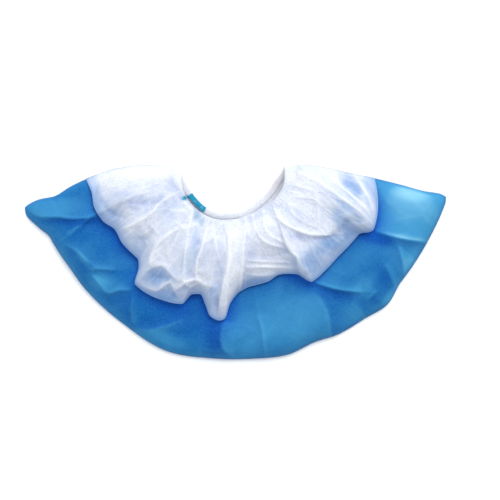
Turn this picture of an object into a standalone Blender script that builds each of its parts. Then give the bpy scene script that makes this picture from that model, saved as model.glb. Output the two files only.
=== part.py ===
"""Disposable two-tone shoe cover, relaxed and lying on its side.

Metres, +Z up. The opening points to +Y, the sole fold to -Y, and the flat back
layer rests on the ground. The cover is a fan: every line on it is a table of fan
angles (degrees, left of centre positive) and radii (shares of FAN_RADIUS).
"""
from collections import namedtuple

import bmesh
import bpy
import numpy as np

# Driving sizes
OVERALL_LENGTH = 0.330      # from tip to tip, along X
WALL = 0.001                # cloth wall, as built
CLEARANCE = 0.0003          # gap between pieces that touch
BODY_LOFT = 0.009           # how far the blue front layer stands off the back layer
COLLAR_LOFT = 0.016         # how far the white collar puffs above its own edges
MOUTH_GAPE = 0.008          # how far the front rim is lifted off the back rim
HEM_WIDTH = 0.0046
HEM_THICKNESS = 0.0022
HEM_FOLD_GAP = 0.0012       # between the two rims where the loop turns back
ROLL_RADIUS = 0.0020        # of the soft roll along the collar's lower edge
ROLL_SLACK = 0.0009         # air under the roll
EDGE_ROUNDING = 0.028       # how far in from a folded edge the cloth keeps rising
SPLICE_THICKNESS = 0.001

# Counts
COLUMNS = 64                # mesh columns across the fan
GATHERS = 14                # gathers of the elastic on each rim
GATHER_STEPS = 4            # stations that shape one gather
HEM_SIDES = 8               # sides of the hem's flat section
SPLICE_STATIONS = 9
FINE_STATIONS = 401         # points that a rim is measured with before it is moved

# The fan
LENGTH_IN_RADII = 1.914
FAN_RADIUS = OVERALL_LENGTH / LENGTH_IN_RADII

Point = namedtuple("Point", "angle radius")
Ridge = namedtuple("Ridge", "angle_a radius_a angle_b radius_b height width")

SOLE_FOLD = [Point(71.7, 1.000), Point(65.1, 0.982), Point(61.5, 0.958), Point(52.3, 0.959),
             Point(45.9, 0.969), Point(31.3, 0.989), Point(16.5, 1.022), Point(5.2, 1.011),
             Point(-2.6, 1.010), Point(-13.2, 1.018), Point(-21.3, 1.000), Point(-28.4, 1.013),
             Point(-35.0, 1.014), Point(-42.0, 1.030), Point(-49.2, 1.002), Point(-61.1, 0.997),
             Point(-74.2, 1.001)]
COLLAR_EDGE = [Point(74.5, 0.704), Point(69.1, 0.696), Point(62.6, 0.712), Point(57.8, 0.709),
               Point(52.0, 0.686), Point(46.1, 0.701), Point(38.7, 0.705), Point(36.2, 0.736),
               Point(34.0, 0.806), Point(29.1, 0.814), Point(22.3, 0.815), Point(17.6, 0.799),
               Point(15.3, 0.740), Point(12.4, 0.730), Point(9.8, 0.775), Point(7.8, 0.820),
               Point(5.0, 0.835), Point(3.2, 0.825), Point(1.8, 0.760), Point(-1.5, 0.705),
               Point(-6.1, 0.681), Point(-12.9, 0.672), Point(-17.5, 0.656), Point(-24.0, 0.680),
               Point(-28.1, 0.742), Point(-34.1, 0.730), Point(-41.9, 0.715), Point(-51.5, 0.713),
               Point(-55.8, 0.753), Point(-58.7, 0.744), Point(-63.1, 0.724), Point(-73.6, 0.661)]
JOIN_LINE = [Point(74.9, 0.655), Point(62.0, 0.650), Point(50.0, 0.642), Point(38.0, 0.662),
             Point(28.0, 0.705), Point(20.0, 0.700), Point(12.0, 0.676), Point(2.0, 0.655),
             Point(-10.0, 0.612), Point(-22.0, 0.602), Point(-34.0, 0.640), Point(-46.0, 0.648),
             Point(-58.0, 0.660), Point(-68.0, 0.632), Point(-73.4, 0.615)]
BACK_RIM = [Point(55.1, 0.294), Point(40.3, 0.316), Point(33.3, 0.332), Point(21.9, 0.353),
            Point(13.5, 0.351), Point(3.8, 0.342), Point(-6.3, 0.334), Point(-21.2, 0.302),
            Point(-34.5, 0.281), Point(-45.0, 0.264), Point(-57.7, 0.264)]
FRONT_RIM = [Point(55.1, 0.294), Point(50.0, 0.316), Point(43.0, 0.341), Point(36.0, 0.358),
             Point(29.0, 0.370), Point(14.0, 0.382), Point(8.0, 0.381), Point(0.0, 0.373),
             Point(-9.0, 0.359), Point(-20.0, 0.346), Point(-29.0, 0.340), Point(-39.0, 0.323),
             Point(-47.0, 0.302), Point(-52.0, 0.283), Point(-57.7, 0.264)]
LEFT_WELD_TOP = [Point(65.0, 0.318), Point(73.1, 0.437), Point(75.4, 0.560)]
RIGHT_WELD_TOP = [Point(-66.8, 0.318), Point(-70.7, 0.400), Point(-72.4, 0.510)]
LEFT_WELD_LOW = [Point(73.4, 0.780), Point(71.9, 0.867), Point(72.4, 0.935)]
RIGHT_WELD_LOW = [Point(-74.0, 0.775), Point(-74.1, 0.898), Point(-74.6, 0.965)]

# Rise of the collar between its rim (0) and its lower edge (1), as shares of COLLAR_LOFT
CollarRise = namedtuple("CollarRise", "station rise")
COLLAR_PROFILE = [CollarRise(0.00, 0.00), CollarRise(0.07, 0.06), CollarRise(0.16, 0.42),
                  CollarRise(0.28, 0.82), CollarRise(0.48, 1.00), CollarRise(0.72, 0.88),
                  CollarRise(0.88, 0.55), CollarRise(1.00, 0.00)]
# Stations of the mesh rows, and of the rows of the blue layer from join (0) to fold (1)
COLLAR_ROWS = [0.0, 0.07, 0.16, 0.28, 0.42, 0.56, 0.69, 0.81, 0.92, 1.0]
BODY_ROWS = [0.0, 0.15, 0.30, 0.46, 0.62, 0.76, 0.88, 0.96, 1.0]

# Heights are shares of COLLAR_LOFT or BODY_LOFT, widths are shares of FAN_RADIUS
COLLAR_RIDGES = [
    Ridge(45, 0.370, 47, 0.518, 0.16, 0.045),
    Ridge(47, 0.518, 51, 0.640, 0.16, 0.045),
    Ridge(27, 0.463, 35, 0.600, 0.18, 0.040),
    Ridge(35, 0.600, 33, 0.690, 0.16, 0.040),
    Ridge(16, 0.450, 15, 0.640, 0.12, 0.030),
    Ridge(-3, 0.420, 0, 0.620, 0.26, 0.042),
    Ridge(0, 0.620, 4, 0.760, 0.26, 0.042),
    Ridge(-7, 0.560, -26, 0.600, -0.34, 0.075),
    Ridge(-27, 0.430, -36, 0.570, -0.20, 0.035),
    Ridge(-65, 0.478, -59, 0.680, 0.16, 0.040),
    Ridge(-51, 0.440, -45, 0.560, 0.14, 0.035),
    Ridge(-24, 0.580, -28, 0.700, 0.16, 0.032)]
BODY_RIDGES = [
    Ridge(66, 0.880, 61, 0.775, 0.22, 0.034),
    Ridge(57, 0.904, 48, 0.882, 0.32, 0.034),
    Ridge(39, 0.934, 34, 0.860, 0.30, 0.040),
    Ridge(-2, 0.841, -26, 0.897, 0.45, 0.110),
    Ridge(-28, 0.830, -27, 0.940, -0.35, 0.030),
    Ridge(-28, 0.780, -39, 0.905, 0.30, 0.034),
    Ridge(-56, 0.800, -61, 0.960, 0.30, 0.036),
    Ridge(-56, 0.856, -51, 0.960, -0.25, 0.030)]

SPLICE_ANGLES = (38.0, 22.5)    # where the teal strip starts and ends on the back rim
RIM_STEPS = GATHER_STEPS * GATHERS
TURN_ANGLES = np.radians([45.0, 90.0, 135.0])
ROLL_ANGLES = np.radians([30.0, -30.0, -90.0])
GATHER_DEPTH = 0.12             # share of HEM_WIDTH that a gather draws in
MOUTH_SHARPNESS = 0.6
WELD_EASE = 0.014               # the roll is pressed flat this close to a weld
WELD_ROLL = 0.45                # what is left of the roll at a weld, as a share
BOW_FALLOFF = 5                 # how fast the bow of a weld dies away across the fan
MERGE = 0.00001

COLOURS = {"blue_lower": (0.035, 0.20, 0.50, 0.45),
           "white_front": (0.80, 0.84, 0.90, 0.75),
           "white_back": (0.74, 0.78, 0.86, 0.75),
           "elastic_hem": (0.82, 0.86, 0.90, 0.70),
           "elastic_splice": (0.05, 0.42, 0.62, 0.60)}


def smooth(x, xs, ys):
    """Monotone cubic curve through the points (xs, ys), with xs rising, read at x."""
    xs, ys = np.asarray(xs, float), np.asarray(ys, float)
    step = np.diff(xs)
    slope = np.diff(ys) / step
    tangent = np.zeros(len(xs))
    same_way = slope[:-1] * slope[1:] > 0
    inner = 2 * slope[:-1] * slope[1:] / np.where(same_way, slope[:-1] + slope[1:], 1)
    tangent[1:-1] = np.where(same_way, inner, 0)
    tangent[0], tangent[-1] = slope[0], slope[-1]
    i = np.clip(np.searchsorted(xs, x, side="right") - 1, 0, len(step) - 1)
    h = step[i]
    u = (x - xs[i]) / h
    return (ys[i] * (1 + 2 * u) * (1 - u) ** 2 + tangent[i] * h * u * (1 - u) ** 2
            + ys[i + 1] * u ** 2 * (3 - 2 * u) + tangent[i + 1] * h * u ** 2 * (u - 1))


def polar(angle, radius):
    """Plan point of a fan angle in degrees and a radius in shares of FAN_RADIUS."""
    a = np.radians(angle)
    r = FAN_RADIUS * np.asarray(radius, float)
    return np.stack([-r * np.sin(a), -r * np.cos(a)], axis=-1)


def across(table, stations):
    """Points of a fan line at stations from 0, its left end, to 1, its right end."""
    angles = np.array([p.angle for p in table])
    radii = np.array([p.radius for p in table])
    wanted = angles[0] + (angles[-1] - angles[0]) * stations
    return polar(wanted, smooth(-wanted, -angles, radii))


def along(points, stations):
    """Points of a smooth curve through given plan points, by share of its length."""
    points = np.asarray(points)
    lengths = np.linalg.norm(np.diff(points, axis=0), axis=1)
    shares = np.concatenate([[0], np.cumsum(lengths)]) / lengths.sum()
    return np.stack([smooth(stations, shares, points[:, k]) for k in (0, 1)], axis=-1)


def rim_line(table, distance, stations):
    """A rim moved a distance into the cloth, and the directions in which it moved."""
    fine = np.linspace(0, 1, FINE_STATIONS)
    points = across(table, fine)
    tangent = np.gradient(points, axis=0)
    tangent /= np.linalg.norm(tangent, axis=1)[:, None]
    into_cloth = np.stack([tangent[:, 1], -tangent[:, 0]], axis=-1)
    moved = points + into_cloth * distance
    return tuple(np.stack([np.interp(stations, fine, values[:, k]) for k in (0, 1)], axis=-1)
                 for values in (moved, into_cloth))


def patch(top, bottom, left, right, rows):
    """Plan grid [row, column] between two lines, whose end columns follow the welds."""
    t = np.asarray(rows)[:, None, None]
    s = np.linspace(0, 1, len(top))[None, :, None]
    left_bow = left - top[0] - (bottom[0] - top[0]) * t[:, 0]
    right_bow = right - top[-1] - (bottom[-1] - top[-1]) * t[:, 0]
    return ((1 - t) * top + t * bottom + (1 - s) ** BOW_FALLOFF * left_bow[:, None]
            + s ** BOW_FALLOFF * right_bow[:, None])


def rounded(distance, reach):
    """Rise from 0 to 1 over the reach, as steep at first as a folded edge."""
    u = np.clip(distance / reach, 0, 1)
    return np.sqrt(1 - (1 - u) ** 2)


def relief(plan, ridges):
    """Sum of the ridges and valleys at each plan point, in shares of the loft."""
    total = np.zeros(plan.shape[:-1])
    for ridge in ridges:
        a = polar(ridge.angle_a, ridge.radius_a)
        b = polar(ridge.angle_b, ridge.radius_b)
        run = b - a
        u = np.clip(((plan - a) @ run) / (run @ run), 0, 1)
        away = np.linalg.norm(plan - a - u[..., None] * run, axis=-1)
        total += ridge.height * np.exp(-(away / (ridge.width * FAN_RADIUS)) ** 2)
    return total


# The plan curves, all with one point for each mesh column
STATIONS = np.linspace(0, 1, COLUMNS + 1)
FOLD = across(SOLE_FOLD, STATIONS)
JOIN = across(JOIN_LINE, STATIONS)
EDGE = across(COLLAR_EDGE, STATIONS)
WELD_DISTANCE = np.minimum(np.linalg.norm(EDGE - EDGE[0], axis=1),
                           np.linalg.norm(EDGE - EDGE[-1], axis=1))


def body_height(weld_distance, fold_distance, plan):
    """Height of the middle of the blue front layer above the ground."""
    lift = rounded(fold_distance, EDGE_ROUNDING) * rounded(weld_distance, EDGE_ROUNDING)
    return WALL / 2 + BODY_LOFT * lift * (1 + relief(plan, BODY_RIDGES))


def stack(row):
    """Height from one sheet's middle to the next one's, lying on a row of points."""
    run = np.linalg.norm(np.diff(row[:, :2], axis=0), axis=1)
    steep = np.hypot(1, np.diff(row[:, 2]) / run)
    steepest = np.maximum(np.append(steep, 1), np.append(1, steep))
    return (WALL + CLEARANCE) * steepest


def fold_distances(plan):
    """How far each plan point of a column grid or row lies from the sole fold."""
    return np.linalg.norm(FOLD - plan, axis=-1)


def body_front():
    """Points [row, column] of the blue front layer, from its join to the sole fold."""
    rows = np.array(BODY_ROWS)
    left = along([JOIN[0], *(polar(*p) for p in LEFT_WELD_LOW), FOLD[0]], rows)
    right = along([JOIN[-1], *(polar(*p) for p in RIGHT_WELD_LOW), FOLD[-1]], rows)
    plan = patch(JOIN, FOLD, left, right, rows)
    weld = np.minimum(np.linalg.norm(plan - plan[:, :1], axis=-1),
                      np.linalg.norm(plan - plan[:, -1:], axis=-1))
    height = body_height(weld, fold_distances(plan), plan)
    return np.concatenate([plan, height[..., None]], axis=-1)


def front_rim_height(stations):
    """Height of the middle of the front rim, which gapes most at its centre."""
    stacked = HEM_THICKNESS * 1.5 + HEM_FOLD_GAP
    return stacked + MOUTH_GAPE * np.sin(np.pi * stations) ** MOUTH_SHARPNESS


def collar_edge_rows():
    """The roll along the collar's lower edge and its return to the join, as rows."""
    inward = JOIN - EDGE
    inward /= np.linalg.norm(inward, axis=1)[:, None]
    ease = np.clip(WELD_DISTANCE / WELD_EASE, 0, 1)
    radius = ROLL_RADIUS * (WELD_ROLL + (1 - WELD_ROLL) * ease)
    under = EDGE + inward * radius[:, None]
    below = np.column_stack([under, body_height(WELD_DISTANCE, fold_distances(under), under)])
    bottom = below[:, 2] + stack(below) + ROLL_SLACK * ease
    middle = bottom + radius
    rows = [np.column_stack([under, middle + radius])]
    for angle in ROLL_ANGLES:
        plan = EDGE + inward * (radius * (1 - np.cos(angle)))[:, None]
        rows.append(np.column_stack([plan, middle + radius * np.sin(angle)]))
    join_row = body_front()[0]
    rows.append(np.column_stack([JOIN, join_row[:, 2] + stack(join_row)]))
    return rows


def collar_front():
    """Points [row, column] of the white front strip, from the rim round to the join."""
    rows = np.array(COLLAR_ROWS)
    rim, _ = rim_line(FRONT_RIM, HEM_WIDTH + CLEARANCE + WALL / 2, STATIONS)
    edge_rows = collar_edge_rows()
    top_of_roll = edge_rows[0]
    left = along([rim[0], *(polar(*p) for p in LEFT_WELD_TOP), top_of_roll[0, :2]], rows)
    right = along([rim[-1], *(polar(*p) for p in RIGHT_WELD_TOP), top_of_roll[-1, :2]], rows)
    plan = patch(rim, top_of_roll[:, :2], left, right, rows)
    weld = np.minimum(np.linalg.norm(plan - plan[:, :1], axis=-1),
                      np.linalg.norm(plan - plan[:, -1:], axis=-1))
    t = rows[:, None]
    ease = t * t * (3 - 2 * t)
    welded = WALL * 1.5 + CLEARANCE
    base = (1 - ease) * front_rim_height(STATIONS) + ease * top_of_roll[:, 2]
    profile = smooth(t, [p.station for p in COLLAR_PROFILE], [p.rise for p in COLLAR_PROFILE])
    puff = COLLAR_LOFT * profile * (1 + relief(plan, COLLAR_RIDGES))
    lift = rounded(weld, EDGE_ROUNDING)
    height = welded + (base - welded) * np.maximum(lift, 1 - 4 * t * (1 - t)) + puff * lift
    top = np.concatenate([plan, height[..., None]], axis=-1)
    top[-1] = top_of_roll
    return np.concatenate([top, np.stack(edge_rows[1:])], axis=0)


def new_object(name, mesh, collection):
    """Link a mesh as a named object with its own material."""
    red, green, blue, roughness = COLOURS[name]
    material = bpy.data.materials.new(name)
    material.use_nodes = True
    shader = material.node_tree.nodes["Principled BSDF"]
    shader.inputs["Base Color"].default_value = (red, green, blue, 1)
    shader.inputs["Roughness"].default_value = roughness
    mesh.materials.append(material)
    obj = bpy.data.objects.new(name, mesh)
    obj.location = (-PLAN_CENTRE[0], -PLAN_CENTRE[1], 0)
    collection.objects.link(obj)
    return obj


def wall(obj):
    """Give an open sheet its cloth wall, half on each side."""
    solidify = obj.modifiers.new("Cloth wall", "SOLIDIFY")
    solidify.thickness = WALL
    solidify.offset = 0
    solidify.solidify_mode = "NON_MANIFOLD"
    solidify.nonmanifold_thickness_mode = "CONSTRAINTS"
    solidify.nonmanifold_merge_threshold = MERGE
    return obj


def grid_faces(bm, grid, closed=False):
    """Add quads between the rows of a grid of bmesh vertices."""
    for upper, lower in zip(grid, grid[1:]):
        count = len(upper)
        for i in range(count if closed else count - 1):
            j = (i + 1) % count
            bm.faces.new([upper[i], lower[i], lower[j], upper[j]])


def outward(bm, up):
    """Turn an open sheet's faces to one side, so that its first face points up or down."""
    bmesh.ops.recalc_face_normals(bm, faces=bm.faces)
    bm.faces.ensure_lookup_table()
    if (bm.faces[0].normal.z > 0) != up:
        bmesh.ops.reverse_faces(bm, faces=bm.faces)


def blue_lower(collection):
    """The folded blue web: a creased front layer and a flat back, joined at fold and welds."""
    front = body_front()
    bm = bmesh.new()
    grid = [[bm.verts.new(point) for point in row] for row in front]
    grid_faces(bm, grid)
    gap_line = JOIN + (FOLD - JOIN) / np.linalg.norm(FOLD - JOIN, axis=1)[:, None] * CLEARANCE
    back_top = [bm.verts.new((*point, WALL / 2)) for point in gap_line[1:-1]]
    left = [row[0] for row in grid]
    right = [row[-1] for row in grid]
    bm.faces.new([*left, *grid[-1][1:-1], *reversed(right), *reversed(back_top)])
    outward(bm, up=True)
    mesh = bpy.data.meshes.new("blue_lower")
    bm.to_mesh(mesh)
    bm.free()
    return wall(new_object("blue_lower", mesh, collection))


def white_front(collection):
    """The puffed white strip in front, rolled under at its lower edge."""
    bm = bmesh.new()
    grid = [[bm.verts.new(point) for point in row] for row in collar_front()]
    grid_faces(bm, grid)
    outward(bm, up=True)
    mesh = bpy.data.meshes.new("white_front")
    bm.to_mesh(mesh)
    bm.free()
    return wall(new_object("white_front", mesh, collection))


def white_back(collection):
    """The white strip behind, lying flat from the back rim to the join."""
    rows = np.array(COLLAR_ROWS)
    rim, _ = rim_line(BACK_RIM, HEM_WIDTH + CLEARANCE, STATIONS)
    up_fan = JOIN / np.linalg.norm(JOIN, axis=1)[:, None]
    low = JOIN - up_fan * (WALL + CLEARANCE)
    left = along([rim[0], *(polar(*p) for p in LEFT_WELD_TOP), low[0]], rows)
    right = along([rim[-1], *(polar(*p) for p in RIGHT_WELD_TOP), low[-1]], rows)
    outline = [*left[:-1], *low, *right[::-1][1:-1], *rim[::-1][:-1]]
    bm = bmesh.new()
    bm.faces.new([bm.verts.new((*point, WALL / 2)) for point in outline])
    outward(bm, up=True)
    mesh = bpy.data.meshes.new("white_back")
    bm.to_mesh(mesh)
    bm.free()
    return wall(new_object("white_back", mesh, collection))


def hem_path():
    """Centre points and width directions of the closed elastic loop, front rim first."""
    stations = np.linspace(0, 1, RIM_STEPS + 1)
    front, front_side = rim_line(FRONT_RIM, HEM_WIDTH / 2, stations)
    back, back_side = rim_line(BACK_RIM, HEM_WIDTH / 2, stations)
    high = front_rim_height(stations)
    low = np.full(len(stations), HEM_THICKNESS / 2)
    turn_middle = (high[-1] + low[-1]) / 2
    turn_radius = (high[-1] - low[-1]) / 2
    centres, sides = [], []
    for plan, side, height, way in ((front, front_side, high, 1),
                                    (back[::-1], back_side[::-1], low, -1)):
        centres += list(np.column_stack([plan, height]))
        sides += list(side)
        ahead = plan[-1] - plan[-2]
        ahead /= np.linalg.norm(ahead)
        for angle in TURN_ANGLES:
            turned = plan[-1] + ahead * turn_radius * np.sin(angle)
            centres.append((*turned, turn_middle + way * turn_radius * np.cos(angle)))
            sides.append(side[-1])
    return np.array(centres), np.array(sides)


def elastic_hem(collection):
    """The gathered elastic edge, one loop of a flat section."""
    centres, sides = hem_path()
    tangent = np.roll(centres, -1, axis=0) - np.roll(centres, 1, axis=0)
    tangent /= np.linalg.norm(tangent, axis=1)[:, None]
    across_band = np.column_stack([sides, np.zeros(len(sides))])
    across_band -= tangent * np.sum(across_band * tangent, axis=1)[:, None]
    across_band /= np.linalg.norm(across_band, axis=1)[:, None]
    thick = np.cross(tangent, across_band)
    corners = np.pi * (2 * np.arange(HEM_SIDES) + 1) / HEM_SIDES
    stretch = 1 / np.cos(np.pi / HEM_SIDES)
    bm = bmesh.new()
    rings = []
    for i, centre in enumerate(centres):
        drawn_in = GATHER_DEPTH * (1 - np.cos(2 * np.pi * i / GATHER_STEPS)) / 2
        ring = []
        for a in corners:
            w = np.cos(a) * stretch * HEM_WIDTH / 2 * (1 - drawn_in)
            h = np.sin(a) * stretch * HEM_THICKNESS / 2
            ring.append(bm.verts.new(centre + across_band[i] * w + thick[i] * h))
        rings.append(ring)
    grid_faces(bm, [*rings, rings[0]], closed=True)
    bmesh.ops.recalc_face_normals(bm, faces=bm.faces)
    mesh = bpy.data.meshes.new("elastic_hem")
    bm.to_mesh(mesh)
    bm.free()
    return new_object("elastic_hem", mesh, collection)


def elastic_splice(collection):
    """The teal end of the elastic, a thin strip that lies on the back rim."""
    start, end = BACK_RIM[0].angle, BACK_RIM[-1].angle
    first, last = ((a - start) / (end - start) for a in SPLICE_ANGLES)
    stations = np.linspace(first, last, SPLICE_STATIONS)
    middle, side = rim_line(BACK_RIM, HEM_WIDTH / 2, stations)
    height = HEM_THICKNESS + CLEARANCE + SPLICE_THICKNESS / 2
    bm = bmesh.new()
    rows = []
    for k in (-0.5, 0.5):
        edge = middle + side * HEM_WIDTH * k
        rows.append([bm.verts.new((*point, height)) for point in edge])
    grid_faces(bm, rows)
    outward(bm, up=True)
    mesh = bpy.data.meshes.new("elastic_splice")
    bm.to_mesh(mesh)
    bm.free()
    obj = wall(new_object("elastic_splice", mesh, collection))
    obj.modifiers["Cloth wall"].thickness = SPLICE_THICKNESS
    return obj


def plan_centre():
    """Centre of the plan's bounding box, which goes to the origin."""
    outline = np.concatenate([FOLD, across(BACK_RIM, STATIONS),
                              *(polar(*p)[None] for p in LEFT_WELD_TOP + RIGHT_WELD_TOP)])
    return (outline.min(axis=0) + outline.max(axis=0)) / 2


PLAN_CENTRE = plan_centre()


def main():
    for obj in list(bpy.data.objects):
        bpy.data.objects.remove(obj, do_unlink=True)
    collection = bpy.data.collections.new("shoe_cover")
    bpy.context.scene.collection.children.link(collection)
    for make in (blue_lower, white_front, white_back, elastic_hem, elastic_splice):
        make(collection)


main()
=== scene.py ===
"""Looks of a disposable shoe cover, relaxed and lying on its side, seen from above.

Metres, +Z up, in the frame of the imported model. The opening points to +Y and the sole
fold to -Y. The cover is a fan: every line on it is a table of fan angles (degrees, left
of centre positive) and radii (shares of the fan's radius). Each sheet is a grid of
points over the fan, lifted by its folds, gathers and crinkles, and given its thickness.
"""
from collections import namedtuple

import bpy
import numpy as np
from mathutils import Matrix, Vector


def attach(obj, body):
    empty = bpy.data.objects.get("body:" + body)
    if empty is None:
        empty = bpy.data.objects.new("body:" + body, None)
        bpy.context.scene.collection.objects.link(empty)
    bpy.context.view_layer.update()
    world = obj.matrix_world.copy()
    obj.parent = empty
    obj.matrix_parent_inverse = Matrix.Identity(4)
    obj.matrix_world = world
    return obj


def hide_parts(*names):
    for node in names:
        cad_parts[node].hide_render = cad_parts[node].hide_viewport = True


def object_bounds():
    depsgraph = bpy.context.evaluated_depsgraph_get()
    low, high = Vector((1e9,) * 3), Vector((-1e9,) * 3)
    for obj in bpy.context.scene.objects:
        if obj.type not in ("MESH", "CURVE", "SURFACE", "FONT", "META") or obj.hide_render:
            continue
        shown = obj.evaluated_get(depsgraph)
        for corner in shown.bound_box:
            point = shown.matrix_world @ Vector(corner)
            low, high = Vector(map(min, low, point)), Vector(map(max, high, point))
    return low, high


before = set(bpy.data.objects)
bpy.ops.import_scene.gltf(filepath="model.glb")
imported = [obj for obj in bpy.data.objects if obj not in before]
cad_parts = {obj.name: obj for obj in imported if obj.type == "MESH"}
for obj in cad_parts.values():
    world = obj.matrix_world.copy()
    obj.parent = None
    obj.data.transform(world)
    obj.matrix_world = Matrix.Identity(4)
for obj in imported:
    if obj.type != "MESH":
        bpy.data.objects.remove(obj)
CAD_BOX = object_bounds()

bl_info = {
    "name": "Disposable shoe cover",
    "version": (1, 0, 0),
    "blender": (4, 5, 0),
    "location": "View3D > Sidebar > Shoe cover",
    "description": "Builds the cloth pieces of a two-tone disposable shoe cover and its studio",
    "category": "Mesh",
}

MM = 0.001

# The fan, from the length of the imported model
CAD_LENGTH = CAD_BOX[1].x - CAD_BOX[0].x
FAN_RADIUS = 0.5201 * CAD_LENGTH
FAN_CENTRE = np.array([-0.0069, 0.5677]) * FAN_RADIUS

# The photograph's fan, in its pixels, by which folds and tints below are placed
PHOTO_CENTRE = np.array([235.0, 137.0])
PHOTO_RADIUS = 220.0

Point = namedtuple("Point", "angle radius")
Fold = namedtuple("Fold", "name height left right line points")
Rise = namedtuple("Rise", "station rise")
Tip = namedtuple("Tip", "corner pull reach")
Lift = namedtuple("Lift", "angle height")
Tint = namedtuple("Tint", "x y long short turn strength")
Tones = namedtuple("Tones", "crest lit valley unlit")
Noise = namedtuple("Noise", "seed cell")
LineNoise = namedtuple("LineNoise", "seed cells")
PleatRow = namedtuple("PleatRow", "count seed share start end")
Roll = namedtuple("Roll", "edge under inward radius middle")
Light = namedtuple("Light", "name place size watts")

SOLE_FOLD = [Point(71.6, 1.036), Point(65.1, 0.982), Point(61.5, 0.958), Point(52.3, 0.959),
             Point(45.9, 0.969), Point(31.3, 0.989), Point(16.5, 1.022), Point(5.2, 1.011),
             Point(-2.6, 1.010), Point(-13.2, 1.018), Point(-21.3, 1.000), Point(-28.4, 1.013),
             Point(-35.0, 1.014), Point(-42.0, 1.030), Point(-49.2, 1.002), Point(-61.1, 0.997),
             Point(-74.3, 1.005)]
COLLAR_EDGE = [Point(74.5, 0.704), Point(69.1, 0.696), Point(62.6, 0.712), Point(57.8, 0.709),
               Point(52.0, 0.686), Point(46.1, 0.701), Point(38.7, 0.705), Point(36.2, 0.736),
               Point(34.0, 0.806), Point(29.1, 0.814), Point(22.3, 0.807), Point(17.6, 0.794),
               Point(15.3, 0.740), Point(12.4, 0.730), Point(9.8, 0.775), Point(7.8, 0.820),
               Point(5.0, 0.835), Point(3.2, 0.825), Point(1.8, 0.760), Point(-1.5, 0.705),
               Point(-6.1, 0.681), Point(-12.9, 0.672), Point(-17.5, 0.656), Point(-24.0, 0.680),
               Point(-28.1, 0.742), Point(-34.1, 0.730), Point(-41.9, 0.715), Point(-51.5, 0.713),
               Point(-55.8, 0.753), Point(-58.7, 0.744), Point(-63.1, 0.724), Point(-73.6, 0.661)]
JOIN_LINE = [Point(74.9, 0.655), Point(62.0, 0.650), Point(50.0, 0.642), Point(38.0, 0.662),
             Point(28.0, 0.705), Point(20.0, 0.700), Point(12.0, 0.676), Point(2.0, 0.655),
             Point(-10.0, 0.612), Point(-22.0, 0.602), Point(-34.0, 0.640), Point(-46.0, 0.648),
             Point(-58.0, 0.660), Point(-68.0, 0.632), Point(-73.4, 0.615)]
BACK_RIM = [Point(55.1, 0.294), Point(40.3, 0.316), Point(33.3, 0.328), Point(21.9, 0.346),
            Point(13.5, 0.350), Point(3.8, 0.342), Point(-6.3, 0.334), Point(-21.2, 0.302),
            Point(-34.5, 0.281), Point(-45.0, 0.264), Point(-57.7, 0.264)]
FRONT_RIM = [Point(55.1, 0.294), Point(50.0, 0.316), Point(43.0, 0.341), Point(36.0, 0.358),
             Point(29.0, 0.370), Point(14.0, 0.382), Point(8.0, 0.381), Point(0.0, 0.373),
             Point(-9.0, 0.359), Point(-20.0, 0.346), Point(-29.0, 0.340), Point(-39.0, 0.323),
             Point(-47.0, 0.302), Point(-52.0, 0.283), Point(-57.7, 0.264)]
LEFT_WELD_TOP = [Point(65.0, 0.318), Point(73.1, 0.437), Point(75.4, 0.560)]
RIGHT_WELD_TOP = [Point(-66.8, 0.318), Point(-70.7, 0.400), Point(-72.4, 0.510)]
LEFT_WELD_LOW = [Point(73.4, 0.780), Point(71.9, 0.867), Point(72.4, 0.935)]
RIGHT_WELD_LOW = [Point(-74.0, 0.775), Point(-74.1, 0.898), Point(-74.6, 0.965)]
# How far each tip of the web is pulled in, and from how far round it, in millimetres
TIPS = [Tip(SOLE_FOLD[0], 4.8, 12.0), Tip(SOLE_FOLD[-1], 1.4, 6.0)]
LEFT_WELD = [*LEFT_WELD_TOP, COLLAR_EDGE[0], *LEFT_WELD_LOW, SOLE_FOLD[0]]
RIGHT_WELD = [*RIGHT_WELD_TOP, COLLAR_EDGE[-1], *RIGHT_WELD_LOW, SOLE_FOLD[-1]]

# Rise of the collar between its rim (0) and its lower edge (1), as shares of its loft
COLLAR_PROFILE = [Rise(0.00, 0.00), Rise(0.07, 0.12), Rise(0.16, 0.45), Rise(0.28, 0.82),
                  Rise(0.46, 1.00), Rise(0.68, 0.86), Rise(0.86, 0.46), Rise(1.00, 0.00)]

# How high the collar's lower edge floats above the blue web, in millimetres
EDGE_LIFTS = [Lift(74.5, 0.2), Lift(66.0, 1.5), Lift(55.0, 2.8), Lift(44.0, 3.4), Lift(34.0, 2.0),
              Lift(26.0, 2.6), Lift(15.0, 3.6), Lift(8.0, 2.6), Lift(3.0, 3.0), Lift(-4.0, 1.2),
              Lift(-14.0, 1.6), Lift(-24.0, 3.0), Lift(-30.0, 2.2), Lift(-36.0, 1.2),
              Lift(-50.0, 1.4), Lift(-58.0, 5.0), Lift(-66.0, 2.2), Lift(-73.6, 0.2)]

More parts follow.
